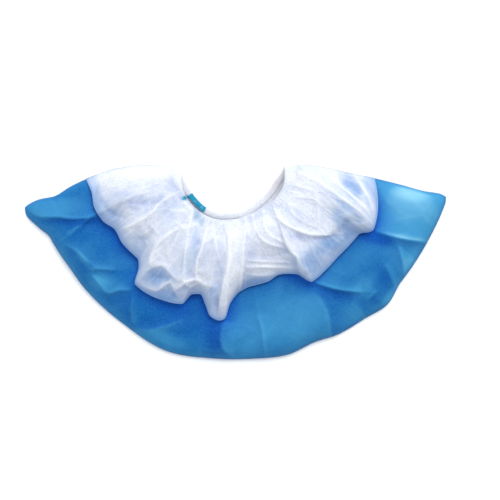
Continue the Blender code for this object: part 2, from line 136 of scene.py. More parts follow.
# Folds that the photograph shows, along points in its pixels. Heights, and the widths on the
# left and right of each line as one walks along it, are in millimetres. The line is how
# bright the fold's crest is painted: a painted highlight, and on the white cloth also the
# whiter cloth folded double there
WHITE_FOLDS = [
    Fold("left shoulder", 2.6, 5.0, 2.5, 0.8, [(182, 190), (172, 196), (162, 203), (151, 215),
                                               (140, 222), (129, 227), (121, 230)]),
    Fold("left drape", 2.2, 5.0, 2.0, 0.7, [(186, 228), (176, 231), (165, 238), (157, 247),
                                            (152, 256), (150, 266)]),
    Fold("left upright", 1.8, 3.0, 2.0, 0.8, [(194, 212), (190, 226), (188, 241), (186, 255),
                                              (184, 279)]),
    Fold("left rim fold", 1.6, 1.6, 2.2, 0.8, [(182, 200), (187, 206), (193, 213), (191, 225)]),
    Fold("left pleat", 2.2, 4.0, 2.0, 0.9, [(208, 223), (205, 238), (202, 250), (198, 261),
                                            (197, 276), (201, 283)]),
    Fold("inner pleat", 1.2, 2.0, 2.0, 0.5, [(214, 224), (216, 243), (221, 262)]),
    Fold("band left side", 2.6, 7.0, 1.2, 0.9, [(224, 222), (229, 240), (229, 261), (224, 283),
                                                (221, 300), (219, 314)]),
    Fold("band right side", 2.4, 1.2, 6.0, 0.9, [(246, 222), (244, 244), (243, 266), (240, 288),
                                                 (233, 300)]),
    Fold("lobe facet top", 1.2, 3.0, 1.5, 0.5, [(142, 278), (151, 268), (162, 265), (172, 274),
                                                (179, 281)]),
    Fold("lobe crease low", 1.6, 3.0, 1.8, 0.8, [(138, 283), (147, 287), (158, 290), (165, 285),
                                                 (171, 282), (175, 289), (179, 297)]),
    Fold("notch crest", 2.0, 2.5, 2.0, 1.0, [(177, 290), (187, 282), (197, 280), (204, 284),
                                             (213, 286)]),
    Fold("notch cross", 1.2, 1.6, 1.6, 0.8, [(182, 279), (191, 286), (200, 281)]),
    Fold("tongue valley", -1.8, 2.0, 2.0, 0.0, [(218, 298), (218, 316)]),
    Fold("right lobe side", 3.0, 12.0, 1.2, 0.6, [(276, 217), (282, 232), (285, 243), (290, 252),
                                                  (296, 257), (298, 266), (302, 275)]),
    Fold("arc ridge", 2.8, 4.5, 1.6, 1.0, [(274, 208), (276, 215), (281, 222), (289, 227),
                                           (300, 232), (313, 235), (331, 235)]),
    Fold("arc ridge two", 1.2, 3.0, 1.6, 0.6, [(287, 203), (291, 212), (301, 221), (316, 228)]),
    Fold("right upright", 1.1, 2.0, 2.0, 0.6, [(314, 192), (317, 208), (318, 224)]),
    Fold("wide diagonal low", 2.8, 3.0, 6.0, 1.0, [(297, 173), (307, 176), (317, 182), (331, 191),
                                                   (344, 201), (356, 210), (366, 218),
                                                   (372, 225)]),
    Fold("wide diagonal high", 2.2, 4.0, 3.0, 1.0, [(328, 176), (336, 183), (345, 191), (356, 201),
                                                    (366, 211), (372, 221)]),
    Fold("right third", 2.2, 3.0, 2.5, 1.0, [(355, 176), (361, 186), (368, 199), (373, 214)]),
    Fold("drape arc one", 1.6, 1.5, 3.0, 0.6, [(253, 214), (255, 227), (259, 236), (267, 243),
                                               (275, 246), (286, 248)]),
    Fold("drape arc two", 1.6, 1.5, 3.0, 0.7, [(263, 211), (265, 227), (271, 236), (280, 241),
                                               (286, 244)]),
    Fold("drape arc three", 1.1, 1.5, 2.0, 0.5, [(248, 219), (248, 232), (252, 240)]),
    Fold("recess", -2.0, 8.0, 8.0, 0.0, [(248, 254), (268, 256), (290, 252)]),
    Fold("recess wrinkle one", 0.9, 1.5, 1.5, 0.4, [(247, 260), (264, 262), (291, 262)]),
    Fold("recess wrinkle two", 0.9, 1.5, 1.5, 0.5, [(246, 267), (266, 267), (294, 268)]),
    Fold("recess wrinkle three", 0.8, 1.5, 1.5, 0.5, [(246, 274), (262, 276), (284, 273)]),
    Fold("left hollow", -2.2, 7.0, 7.0, 0.0, [(104, 205), (112, 213), (122, 218)]),
    Fold("lobe hollow", -1.6, 5.0, 5.0, 0.0, [(152, 276), (168, 279)]),
    Fold("shoulder hollow", -1.5, 6.0, 6.0, 0.0, [(133, 238), (146, 240), (156, 232)]),
    Fold("low right swell", 1.6, 6.0, 6.0, 0.0, [(334, 228), (341, 219), (350, 213)]),
    Fold("triangle hollow", -2.0, 4.0, 4.0, 0.0, [(342, 182), (352, 187), (358, 197)]),
    Fold("left top swell", 1.4, 8.0, 6.0, 0.0, [(95, 182), (125, 176), (165, 172)])]
BLUE_FOLDS = [
    Fold("left tip crease", 2.2, 9.0, 2.0, 0.6, [(31, 213), (41, 217), (56, 217), (72, 219),
                                                 (88, 218), (100, 216)]),
    Fold("left corner", 1.4, 5.0, 2.0, 0.4, [(86, 222), (95, 215), (106, 212)]),
    Fold("left short ridge", 1.5, 2.0, 5.0, 0.35, [(101, 212), (93, 217), (81, 226), (68, 237)]),
    Fold("left slant", 1.4, 5.0, 2.5, 0.5, [(67, 245), (78, 252), (86, 260), (98, 268)]),
    Fold("left level fold", 1.6, 5.0, 1.6, 0.5, [(88, 270), (100, 269), (116, 270)]),
    Fold("left facet side", 1.5, 6.0, 3.0, 0.4, [(90, 272), (98, 282), (106, 292)]),
    Fold("left facet foot", 1.8, 4.0, 1.8, 0.4, [(104, 291), (110, 293), (120, 290), (131, 290)]),
    Fold("low left upright", 1.2, 4.0, 1.8, 0.2, [(133, 297), (131, 309), (132, 321), (139, 330)]),
    Fold("low left crease", 2.0, 2.0, 4.5, 0.3, [(133, 328), (147, 330), (165, 326), (182, 320)]),
    Fold("bottom crease", 0.7, 1.2, 1.2, 0.2, [(204, 350), (214, 352), (224, 351)]),
    Fold("centre step", 2.2, 12.0, 4.0, 0.0, [(223, 320), (220, 336), (223, 349), (233, 357)]),
    Fold("thin crease", 0.8, 1.2, 1.0, 0.0, [(257, 314), (262, 330), (265, 358)]),
    Fold("bulge side", 1.9, 5.0, 14.0, 0.2, [(312, 288), (322, 300), (329, 316), (333, 342)]),
    Fold("wedge crest", 2.6, 8.0, 1.8, 0.6, [(306, 279), (322, 285), (342, 290), (362, 292)]),
    Fold("right crest", 2.8, 12.0, 3.0, 0.9, [(374, 231), (390, 236), (408, 240), (430, 243)]),
    Fold("right arc", 1.8, 6.0, 4.0, 0.2, [(393, 236), (398, 248), (402, 262), (404, 276)]),
    Fold("right upright", 1.4, 6.0, 3.0, 0.2, [(384, 264), (392, 280), (396, 292)]),
    Fold("right small crease", 1.2, 2.0, 4.0, 0.2, [(377, 291), (371, 296), (367, 301)]),
    Fold("low right facet", 1.2, 3.0, 4.0, 0.3, [(352, 300), (362, 312), (372, 322)])]

# Soft patches of tint: centre, half sizes and turn (degrees from level, rising to the
# right), in the photograph's pixels. On the white cloth they show the blue behind it
CALM_PATCHES = [
    Tint(272, 263, 26, 15, 0, 0.9)]
BLUE_GLIMPSES = [
    Tint(109, 210, 16, 9, -30, 0.45), Tint(160, 276, 15, 9, 10, 0.70),
    Tint(142, 243, 14, 9, -50, 0.30), Tint(170, 212, 12, 12, 0, 0.15),
    Tint(190, 262, 10, 22, 0, 0.22), Tint(196, 240, 5, 12, 0, 0.25),
    Tint(212, 296, 7, 12, -20, 0.35), Tint(174, 292, 7, 5, -30, 0.40),
    Tint(329, 244, 17, 10, 25, 0.75), Tint(341, 220, 9, 14, 25, 0.75),
    Tint(351, 189, 17, 8, -58, 0.62), Tint(367, 190, 5, 12, 25, 0.35),
    Tint(308, 262, 15, 13, 45, 0.65), Tint(350, 232, 18, 5, 45, 0.50),
    Tint(256, 281, 14, 4, 15, 0.58), Tint(295, 215, 9, 6, -20, 0.12),
    Tint(347, 208, 18, 4.5, -40, 0.65), Tint(165, 295, 15, 6, -10, 0.6)]
# Painted light: where the white cloth is drawn brighter, as it catches the light
WHITE_LIGHTS = [
    Tint(268, 269, 26, 8, 0, 0.75), Tint(228, 290, 6, 24, -12, 0.4), Tint(262, 250, 16, 6, 0, 0.3),
    Tint(328, 209, 12, 7, -30, 0.15), Tint(188, 210, 4, 14, 20, 0.25),
    Tint(150, 173, 34, 6, 2, 0.9), Tint(180, 182, 5, 12, 30, 0.7), Tint(235, 232, 8, 13, 0, 0.8),
    Tint(233, 275, 6, 34, -5, 0.5), Tint(302, 181, 18, 10, -15, 0.9),
    Tint(270, 221, 14, 8, 25, 0.5), Tint(216, 226, 8, 5, 0, 0.5), Tint(290, 196, 10, 10, 0, 0.5),
    Tint(372, 210, 3, 20, 10, 0.5), Tint(100, 181, 12, 6, 10, 0.4)]
# Painted shade: where the white cloth is drawn darker, as it lies in shade
WHITE_SHADES = [
    Tint(352, 187, 14, 9, -58, 1.0), Tint(346, 205.5, 18, 3.5, -40, 0.55),
    Tint(206, 250, 16, 20, 0, 0.3), Tint(163, 199, 22, 14, 15, 0.6),
    Tint(120, 222, 14, 8, -35, 0.35), Tint(130, 201, 20, 9, -15, 0.9),
    Tint(296, 218, 14, 8, -20, 0.3), Tint(200, 252, 6, 16, 8, 0.45),
    Tint(221, 270, 4, 26, 0, 0.35), Tint(252, 262, 4, 20, 0, 0.4), Tint(282, 250, 10, 5, 0, 0.35),
    Tint(262, 256, 16, 8, 0, 0.1), Tint(302, 238, 20, 4, -8, 0.6), Tint(219, 308, 2.5, 10, 0, 0.7),
    Tint(322, 192, 14, 4, -33, 0.4)]
# Inside the mouth, where the hem and the back strip lie in its shade
MOUTH_SHADES = [
    Tint(277, 182, 19, 7.5, 58, 0.9)]
# On the blue web, painted light on facets and crests that catch the light, and painted
# shade and shadows under the collar's edge and the folds
BLUE_LIGHTS = [
    Tint(64, 206, 34, 9, 2, 0.30), Tint(101, 280, 12, 10, -20, 0.44),
    Tint(84, 259, 11, 3, -50, 0.4), Tint(120, 264, 14, 8, 0, 0.12),
    Tint(122, 252, 12, 16, 0, 0.08), Tint(168, 340, 22, 7, -20, 0.22),
    Tint(411, 194, 17, 7, -8, 0.65), Tint(404, 209, 48, 32, -12, 0.7),
    Tint(404, 258, 24, 16, -60, 0.3), Tint(413, 256, 16, 7, 62, 0.35),
    Tint(391, 298, 14, 6, 55, 0.5), Tint(362, 287, 18, 8, 50, 0.3),
    Tint(350, 266, 24, 14, 30, 0.18), Tint(294, 318, 32, 28, 10, 0.42),
    Tint(248, 328, 26, 28, 0, 0.32), Tint(350, 316, 16, 14, 20, 0.25),
    Tint(362, 250, 18, 10, 20, 0.15), Tint(390, 256, 12, 12, 0, 0.12)]
# Painted shade and painted shadows on the blue web
BLUE_SHADES = [
    Tint(74, 222, 30, 4, 0, 0.6), Tint(108, 226, 9, 10, -45, 0.5), Tint(120, 243, 8, 20, 40, 0.35),
    Tint(168, 304, 34, 8, -22, 0.7), Tint(120, 300, 14, 4, 10, 0.4), Tint(206, 300, 9, 14, 0, 0.9),
    Tint(214, 334, 10, 20, 0, 0.85), Tint(185, 328, 20, 8, 0, 0.4), Tint(232, 312, 10, 8, 45, 0.4),
    Tint(300, 281, 20, 5, -20, 0.6), Tint(334, 295, 24, 5, -10, 0.5),
    Tint(374, 238, 20, 6, -18, 1.0), Tint(385, 279, 11, 6, -70, 0.35),
    Tint(375, 300, 7, 4, -35, 0.2), Tint(128, 311, 9, 12, 0, 0.3), Tint(150, 322, 20, 6, 10, 0.25)]
# Where the teal elastic shows through the white cloth
TEAL_GLIMPSES = [
    Tint(185.5, 198, 4.4, 2.4, 30, 1.0), Tint(197, 215, 4.0, 6, 0, 0.34),
    Tint(202, 222, 3, 5, 0, 0.24)]
SPLICE_ANGLES = (37.5, 22.2)

# Mesh counts
COLUMNS = 460
COLLAR_ROWS = 96
BODY_ROWS = 80
BACK_ROWS = 10
BACK_STRIP_ROWS = 36
SIM_COLUMNS = 260
SIM_ROWS = 56
FOLD_STEPS = 14
EDGE_STATIONS = 240
FINE_STATIONS = 801
HEM_SIDES = 18
STEPS_A_GATHER = 7
ELASTIC_COLUMNS = 60
ELASTIC_ROWS = 12

# Uneven swells and nets of creases: the seed of each and the size of one cell, in metres
LINE_BREAKS = Noise(11, 6 * MM)
BLUE_SWELL = Noise(21, 0.045)
BLUE_CREASES = Noise(31, 0.03)
BLUE_WAVES = Noise(51, 0.018)
WHITE_CREASES = Noise(81, np.array([0.010, 0.030]))
WHITE_FINE_CREASES = Noise(87, 0.45 * np.array([0.010, 0.030]))
WHITE_WAVES = Noise(83, 0.012)
BACK_WAVES = Noise(91, 0.008)
ELASTIC_RIBS = Noise(111, 1.6 * MM)
# Along a line they have this many cells: over the whole roll, or for each gather of the hem
# and each radian round it
ROLL_WAVES = LineNoise(71, 40)
HEM_SWAY = LineNoise(101, (0.5, 0.8))
HEM_DEPTH = LineNoise(103, (0.23, 0.4))
HEM_BULGE = LineNoise(102, (0.31, 0.48))

# Their tables repeat after this many cells. Creases wander by a share of a cell, in swells
# of which this many lie in one cell, and fade over a share of one
LATTICE = 64
CREASE_WARP = 0.45
CREASE_WARP_CELLS = 1.3
CREASE_WIDTH = 0.16

# Heights of the swells, waves and ribs, and the crinkle height's share in each kind of crease
BLUE_SWELL_HEIGHT = 2.6 * MM
BACK_WAVE_HEIGHT = 0.4 * MM
ELASTIC_RIB_HEIGHT = 0.15 * MM
BLUE_CREASE_SHARE = 0.45
WHITE_CREASE_SHARE = 0.7
WHITE_FINE_SHARE = 0.35

# The cloth map is true to size at this share of the fan's radius
MIDDLE_RADIUS = 0.7

# How the cloth eases into its edges, in metres
WELD_REACH = 0.018
FOLD_REACH = 0.024
COLLAR_WELD_REACH = 0.028
BACK_WELD_REACH = 0.02
ROLL_WELD_REACH = 0.014
# Reach of the painted light on the blue's turned edges, and of the collar's painted shadow
TURN_REACH = 2 * MM
EDGE_SHADE_REACH = 2.5 * MM
FULL_SHADE_LIFT = 3 * MM
# How strongly the end columns of a sheet bow along the welds
BOW_FALLOFF = 5

# Where layers lie, in thicknesses of one layer: the middle of the upper one at a weld, the
# outermost point of the sole fold and its height, and the least gap from collar to blue web
UPPER_LAYER = 1.7
SOLE_TURN_OUT = 0.6
SOLE_TURN_HEIGHT = 1.1
WEB_GAP = 1.4

# Folds: how soft their crests are, how wide and how even the bright line along them is,
# and what is left of a fold at its ends
FOLD_SOFTNESS = 0.35 * MM
LINE_WIDTH = 1.0 * MM
LINE_MEAN = 0.8
LINE_SWING = 0.3
FOLD_END_SHARE = 0.25
# How strongly the two sides of a fold are toned, with painted shade on the steep side and
# painted light on the gentle, lit side, for each millimetre of its height, how far from the
# crest, how softly the tone changes over it, and the lit side's share of it
SIDE_TONE = 0.4
SIDE_REACH = 5 * MM
SIDE_SOFTNESS = 0.7 * MM
LIT_SHARE = 0.7

# What counts as a crest or valley: its rise over the mean of this many cells around, and
# the share that each of the two adds to it
NEAR_CELLS, NEAR_RISE = 5, 0.7 * MM
WIDE_CELLS, WIDE_RISE = 14, 1.8 * MM
RISE_SHARE = 0.6
# How strongly relief tints the cloth: crests and lit sides get painted light, valleys and
# unlit sides painted shade. The lines along folds, creases and pleats, and the blue's turned
# edges, get painted highlights
BLUE_TONES = Tones(crest=0.2, lit=0.5, valley=0.3, unlit=0.6)
WHITE_TONES = Tones(crest=0.3, lit=0.25, valley=0.5, unlit=0.25)
BLUE_LINE_LIGHT = 0.25
BLUE_TURN_LIGHT = 0.4
CREASE_LIGHT = 0.3
FINE_CREASE_LIGHT = 0.2
PLEAT_LIGHT = 0.85
# The same for the hem and the back strip: painted light all over and on their crests, and
# painted shade in their valleys, and all over the back strip
HEM_BRIGHT = 0.7
HEM_PUCKER_SHADE = 0.15
BACK_BRIGHT = 0.4
BACK_CREST_LIGHT = 0.5
BACK_SHADE = 0.1
BACK_VALLEY_SHADE = 0.4

# How much of the blue behind it the front strip shows beyond the join, which is blurred over
# this share of the fan's radius: always, and besides where it lies close, which fades with
# this height
JOIN_BLUR = 0.03
BLUE_BEHIND = 0.16
BLUE_CLOSE_BEHIND = 0.4
CLOSE_HEIGHT = 6 * MM
# How blue the collar's edge looks, for the web that shows through it, how much brightness it
# loses, and how far inwards
EDGE_BLUE = 0.68
EDGE_DULLING = 0.8
EDGE_FADE = 1.8 * MM

# Between the rim (0) and the lower edge (1), folds and crinkles rise up to the start and
# fade from the end on. The folds lose this share of their height at the edge
FOLD_START = 0.05
FOLD_END = 0.86
FOLD_HOLD = 0.75
CRINKLE_START = 0.05
CRINKLE_END = 0.9
# The back strip's waves and pleats likewise, and the share of the pleats' height it has
BACK_START = 0.08
BACK_END = 0.88
BACK_PLEAT_SHARE = 0.6
# Where the strips start, in widths of the hem from the rim
FRONT_TUCK = 0.1
BACK_TUCK = 0.75

# The soft roll along the collar's lower edge, and the return under it
ROLL_ANGLES = np.radians([60.0, 30.0, 0.0, -30.0, -60.0, -90.0])
RETURN_SHARES = (0.2, 0.4, 0.6, 0.8, 1.0)
ROLL_AT_WELD = 0.4
ROLL_UNEVENNESS = 0.25

# Pleats that fan out from the elastic: how many lie along the rim, the seed of their sway,
# their share of the gather height, and where they start and end from rim (0) to edge (1)
PLEAT_ROWS = [PleatRow(46, 61, 0.35, 0.02, 0.18), PleatRow(23, 64, 1.0, 0.04, 0.42),
              PleatRow(12, 67, 1.0, 0.14, 0.80)]
PLEAT_SHARPNESS = 0.7
# They start this much before that, and rise over this much
PLEAT_LEAD = 0.04
PLEAT_RISE = 0.06
# Cells of their wide sway, fine sway and unevenness, for each pleat and down the strip, how
# much the fine sway counts, and their mean height
PLEAT_CELLS = [(0.35, 2.5), (0.9, 5), (0.5, 1.5)]
PLEAT_FINE_SWAY = 0.3
PLEAT_MEAN = 0.6

# The elastic loop: the front rim stands on the stacked hems and gapes, the back one lies flat
GAPE_FULLNESS = 0.6
LOOP_TURN = np.radians(np.arange(15, 180, 15))
RIM_STACK = 1.5
RIM_CLEARANCE = 1.2 * MM
BACK_FLATNESS = 0.6
HEM_SQUARENESS = 0.7
PUCKER_WIDTH = 0.07
PUCKER_THICKNESS = 0.20
PUCKER_SWAY = 0.35
PUCKER_BULGE = 0.5
# The elastic's end, between these shares of the hem's width, and its height over the hem
ELASTIC_SPAN = (-0.5, 0.26)
ELASTIC_RISE = 0.5 * MM
ELASTIC_CROWN = 0.3 * MM
ELASTIC_THICKNESS = 0.6 * MM

# How the gathered strip settles: it is cut wider than the elastic lets it lie, by these
# factors at its rim and at its lower edge
RIM_EXCESS = 1.5
EDGE_EXCESS = 1.12
# The least angle that the cut fan spans, in radians
LEAST_SPREAD = 0.2
SETTLING_FRAMES = 16
SETTLING_GRAVITY = 0.02
# How firmly the row above the lower edge is held, against 1 for the border
NEXT_ROW_HOLD = 0.4
SETTLING = {"quality": 6, "mass": 0.05, "tension_stiffness": 40, "compression_stiffness": 40,
            "shear_stiffness": 20, "bending_stiffness": 0.5, "tension_damping": 5,
            "compression_damping": 5, "shear_damping": 5, "bending_damping": 0.5,
            "air_damping": 2, "pin_stiffness": 1.0}

# The studio, in metres and watts. The camera stands as far off as its lens asks, so that the
# cover fills the frame as it does in the photograph
LIGHTS = [Light("key", (1.0, 2.3, 2.3), 2.4, 108.0), Light("fill", (-2.2, 0.2, 2.0), 2.0, 18.0)]
SKY_COLOUR = (0.88, 0.94, 1.0)
SKY_STRENGTH = 0.68
FLOOR_SIZE = 6.0
FLOOR_DROP = 0.3 * MM
CAMERA_PLACE = (0.01057, 0.00932, 1.312)
CAMERA_LENS = 120
CAMERA_NEAR = 0.05


def linear(hex_colour):
    """Linear colour of an sRGB hex value such as #2A86CF."""
    srgb = np.array([int(hex_colour[i:i + 2], 16) / 255 for i in (1, 3, 5)])
    return tuple(np.where(srgb <= 0.04045, srgb / 12.92, ((srgb + 0.055) / 1.055) ** 2.4))


def length_setting(name, millimetres, description):
    """A length that a user would change, given in millimetres."""
    return bpy.props.FloatProperty(name=name, description=description, unit="LENGTH",
                                   default=millimetres * MM, precision=5)


def colour_setting(name, hex_colour, description):
    """A colour that a user would change, given as an sRGB hex value."""
    return bpy.props.FloatVectorProperty(name=name, description=description, subtype="COLOR",
                                         min=0, max=1, default=linear(hex_colour))


class CoverSizes(bpy.types.PropertyGroup):
    """Sizes of the cloth that a user would change."""
    cloth: length_setting("Cloth thickness", 0.35, "Thickness of one layer of nonwoven")
    body_loft: length_setting("Blue loft", 9, "How far the blue front layer stands off the back layer")
    collar_loft: length_setting("Collar loft", 12, "How far the white collar puffs above its own edges")
    mouth_gape: length_setting("Mouth gape", 6.5, "How far the front rim is lifted off the back rim")
    roll_radius: length_setting("Roll radius", 0.8, "Radius of the soft roll along the collar's edge")
    gather_height: length_setting("Gather height", 1.5, "Height of the pleats that leave the elastic")
    crinkle: length_setting("Crinkle height", 0.55, "Height of the small creases of packed cloth")
    hem_width: length_setting("Hem width", 5.4, "Width of the gathered elastic edge")
    hem_thickness: length_setting("Hem thickness", 2.2, "Thickness of the gathered elastic edge")
    gather_pitch: length_setting("Gather pitch", 3.4, "Distance between two gathers on the elastic edge")


class CoverColours(bpy.types.PropertyGroup):
    """Colours of the cloth that a user would change."""
    white: colour_setting("White", "#EBEFF8", "One layer of white nonwoven")
    # This white is the cloth folded double and its fibre clouds, and also the painted highlight on
    # crests, lit sides and lit patches
    doubled_and_lit_white: colour_setting("Doubled white", "#FEFEFF", "White nonwoven folded double, and painted highlights")
    # This white is painted shade in valleys, on unlit sides and in shaded patches, and also the fine
    # grain of the fibres
    shade: colour_setting("White in valleys", "#BFCAE6", "White nonwoven where it lies in a valley")
    inside: colour_setting("White inside", "#EAE8EC", "White nonwoven in the shade of the mouth")
    over_blue: colour_setting("White on blue", "#6CA6DE", "White nonwoven that lies on the blue web")
    blue: colour_setting("Blue", "#085EA4", "Blue film-coated nonwoven")
    # This blue is the web's mottle and speckle, and also painted light on its lit facets, crests, lit
    # sides and turned edges
    mottled_and_lit_blue: colour_setting("Mottled and lit blue", "#56B2DA", "Blue nonwoven: its mottle and its painted light")
    blue_pale: colour_setting("Palest blue", "#B0DEEA", "Blue nonwoven where its film catches the light")
    # This blue is painted shade in the web's valleys, on unlit sides and in its shaded patches
    painted_shade_blue: colour_setting("Deep blue", "#024A9E", "Blue nonwoven in its valleys")
    blue_shaded: colour_setting("Shaded blue", "#0256C8", "Blue nonwoven in the shade of the collar")
    teal: colour_setting("Teal", "#269FC5", "Covered elastic thread")
    floor: colour_setting("Floor", "#FAFAFA", "Pale studio floor")


def smooth(x, xs, ys):
    """Monotone cubic curve through the points (xs, ys), with xs rising, read at x."""
    xs, ys = np.asarray(xs, float), np.asarray(ys, float)
    step = np.diff(xs)
    slope = np.diff(ys) / step
    tangent = np.zeros(len(xs))
    same_way = slope[:-1] * slope[1:] > 0
    inner = 2 * slope[:-1] * slope[1:] / np.where(same_way, slope[:-1] + slope[1:], 1)
    tangent[1:-1] = np.where(same_way, inner, 0)
    tangent[0], tangent[-1] = slope[0], slope[-1]
    i = np.clip(np.searchsorted(xs, x, side="right") - 1, 0, len(step) - 1)
    h = step[i]
    u = (x - xs[i]) / h
    return (ys[i] * (1 + 2 * u) * (1 - u) ** 2 + tangent[i] * h * u * (1 - u) ** 2
            + ys[i + 1] * u ** 2 * (3 - 2 * u) + tangent[i + 1] * h * u ** 2 * (u - 1))


def read_table(table, x):
    """A table's second column as a smooth curve over its first, which rises or falls."""
    xs, ys = np.array(table, float).T
    way = np.sign(xs[-1] - xs[0])
    return smooth(way * np.asarray(x), way * xs, ys)


def ease(u):
    """Smooth step from 0 to 1."""
    u = np.clip(u, 0, 1)
    return u * u * (3 - 2 * u)


def polar(angle, radius):
    """Plan point of a fan angle in degrees and a radius in shares of the fan's radius."""
    a = np.radians(angle)
    r = FAN_RADIUS * np.asarray(radius, float)
    return FAN_CENTRE + np.stack([-r * np.sin(a), -r * np.cos(a)], axis=-1)


def fan_of(plan):
    """Fan angle in degrees and radius in shares of plan points."""
    away = plan - FAN_CENTRE
    angle = np.degrees(np.arctan2(-away[..., 0], -away[..., 1]))
    return angle, np.linalg.norm(away, axis=-1) / FAN_RADIUS


def on_photo(points):
    """Plan points of places in the photograph's pixels."""
    away = (np.asarray(points, float) - PHOTO_CENTRE) / PHOTO_RADIUS
    return FAN_CENTRE + away * (1, -1) * FAN_RADIUS


def raised(plan, height):
    """Points of a plan at their heights."""
    return np.concatenate([plan, height[..., None]], axis=-1)


def across(table, stations):
    """Points of a fan line at stations from 0, its left end, to 1, its right end."""
    wanted = table[0].angle + (table[-1].angle - table[0].angle) * stations
    return polar(wanted, read_table(table, wanted))


def along(points, stations):
    """Points of a smooth curve through given plan points, by share of its length."""
    points = np.asarray(points)
    lengths = np.linalg.norm(np.diff(points, axis=0), axis=1)
    shares = np.concatenate([[0], np.cumsum(lengths)]) / lengths.sum()
    return np.stack([smooth(stations, shares, points[:, k]) for k in (0, 1)], axis=-1)


def rim_line(table, distance, stations):
    """A rim moved a distance into the cloth, and the directions in which it moved."""
    fine = np.linspace(0, 1, FINE_STATIONS)
    points = across(table, fine)
    tangent = np.gradient(points, axis=0)
    tangent /= np.linalg.norm(tangent, axis=1)[:, None]
    into_cloth = np.stack([tangent[:, 1], -tangent[:, 0]], axis=-1)
    moved = points + into_cloth * distance
    return tuple(np.stack([np.interp(stations, fine, values[:, k]) for k in (0, 1)], axis=-1)
                 for values in (moved, into_cloth))


def patch(top, bottom, left_weld, right_weld, rows):
    """Plan grid [row, column] between two lines, whose end columns follow the welds."""
    left, right = (along([top[end], *(polar(*p) for p in weld), bottom[end]], rows)
                   for end, weld in ((0, left_weld), (-1, right_weld)))
    t = np.asarray(rows)[:, None, None]
    s = np.linspace(0, 1, len(top))[None, :, None]
    left_bow = left - top[0] - (bottom[0] - top[0]) * t[:, 0]
    right_bow = right - top[-1] - (bottom[-1] - top[-1]) * t[:, 0]
    return ((1 - t) * top + t * bottom + (1 - s) ** BOW_FALLOFF * left_bow[:, None]
            + s ** BOW_FALLOFF * right_bow[:, None])


def to_row_ends(plan):
    """Distance of each point to the nearer end of its row."""
    return np.minimum(np.linalg.norm(plan - plan[..., :1, :], axis=-1),
                      np.linalg.norm(plan - plan[..., -1:, :], axis=-1))


def rounded(distance, reach):
    """Rise from 0 to 1 over the reach, as steep at first as a folded edge."""
    u = np.clip(distance / reach, 0, 1)
    return np.sqrt(1 - (1 - u) ** 2)


def drift(points, seed):
    """Smooth noise from -1 to 1, with one swell for each unit of the points."""
    table = np.random.RandomState(seed).uniform(-1, 1, (LATTICE, LATTICE))
    cell = np.floor(points).astype(int)
    u = ease(points - cell)
    i, j = cell[..., 0] % LATTICE, cell[..., 1] % LATTICE
    far_i, far_j = (i + 1) % LATTICE, (j + 1) % LATTICE
    near_row = table[i, j] * (1 - u[..., 0]) + table[far_i, j] * u[..., 0]
    far_row = table[i, far_j] * (1 - u[..., 0]) + table[far_i, far_j] * u[..., 0]
    return near_row * (1 - u[..., 1]) + far_row * u[..., 1]


def waves(plan, noise):
    """Smooth noise from -1 to 1 at plan points."""
    return drift(plan / noise.cell, noise.seed)


def creases(plan, noise):
    """Net of sharp creases at plan points, 1 on a crease and 0 away from it."""
    points = plan / noise.cell
    warp = np.stack([drift(points * CREASE_WARP_CELLS, noise.seed + k) for k in (1, 2)], axis=-1)
    points = points + CREASE_WARP * warp
    jitter = np.random.RandomState(noise.seed).uniform(0, 1, (LATTICE, LATTICE, 2))
    cell = np.floor(points).astype(int)
    near = np.full(points.shape[:-1], np.inf)
    second = np.full(points.shape[:-1], np.inf)
    for di in range(-2, 3):
        for dj in range(-2, 3):
            corner = cell + (di, dj)
            seat = corner + jitter[corner[..., 0] % LATTICE, corner[..., 1] % LATTICE]
            gap = np.linalg.norm(points - seat, axis=-1)
            second = np.minimum(second, np.maximum(near, gap))
            near = np.minimum(near, gap)
    return np.exp(-(second - near) / CREASE_WIDTH)


def fold_relief(plan, folds):
    """Height in metres that folds add at each plan point, their bright lines, and the painted
    shade of their steep sides as positive and the painted light of their gentle sides as
    negative numbers."""
    total = np.zeros(plan.shape[:-1])
    lines = np.zeros(plan.shape[:-1])
    sides = np.zeros(plan.shape[:-1])
    broken = LINE_MEAN + LINE_SWING * waves(plan, LINE_BREAKS)
    for fold in folds:
        points = along(on_photo(fold.points), np.linspace(0, 1, FOLD_STEPS))
        nearest = np.full(plan.shape[:-1], np.inf)
        share = np.zeros(plan.shape[:-1])
        side = np.zeros(plan.shape[:-1])
        for step, (a, b) in enumerate(zip(points, points[1:])):
            run = b - a
            u = np.clip(((plan - a) @ run) / (run @ run), 0, 1)
            away = plan - a - u[..., None] * run
            distance = np.linalg.norm(away, axis=-1)
            closer = distance < nearest
            nearest = np.where(closer, distance, nearest)
            share = np.where(closer, (step + u) / (FOLD_STEPS - 1), share)
            side = np.where(closer, run[0] * away[..., 1] - run[1] * away[..., 0], side)
        width = np.where(side > 0, fold.left, fold.right) * MM
        crest = np.exp(-(np.hypot(nearest, FOLD_SOFTNESS) - FOLD_SOFTNESS) / width)
        middle = np.sqrt(np.clip(4 * share * (1 - share), 0, 1))
        taper = FOLD_END_SHARE + (1 - FOLD_END_SHARE) * middle
        total += fold.height * MM * crest * taper
        drawn = fold.line * taper * broken * np.exp(-(nearest / LINE_WIDTH) ** 2)
        lines = np.maximum(lines, drawn)
        if fold.left != fold.right:
            to_steep = np.sign(side) * (1 if fold.left < fold.right else -1) * nearest
            share_steep = 0.5 + 0.5 * np.tanh(to_steep / SIDE_SOFTNESS)
            facing = (1 + LIT_SHARE) * share_steep - LIT_SHARE
            tone = SIDE_TONE * fold.height * facing * taper * np.exp(-nearest / SIDE_REACH)
            sides = np.where(np.abs(tone) > np.abs(sides), tone, sides)
    return total, lines, np.clip(sides, -1, 1)


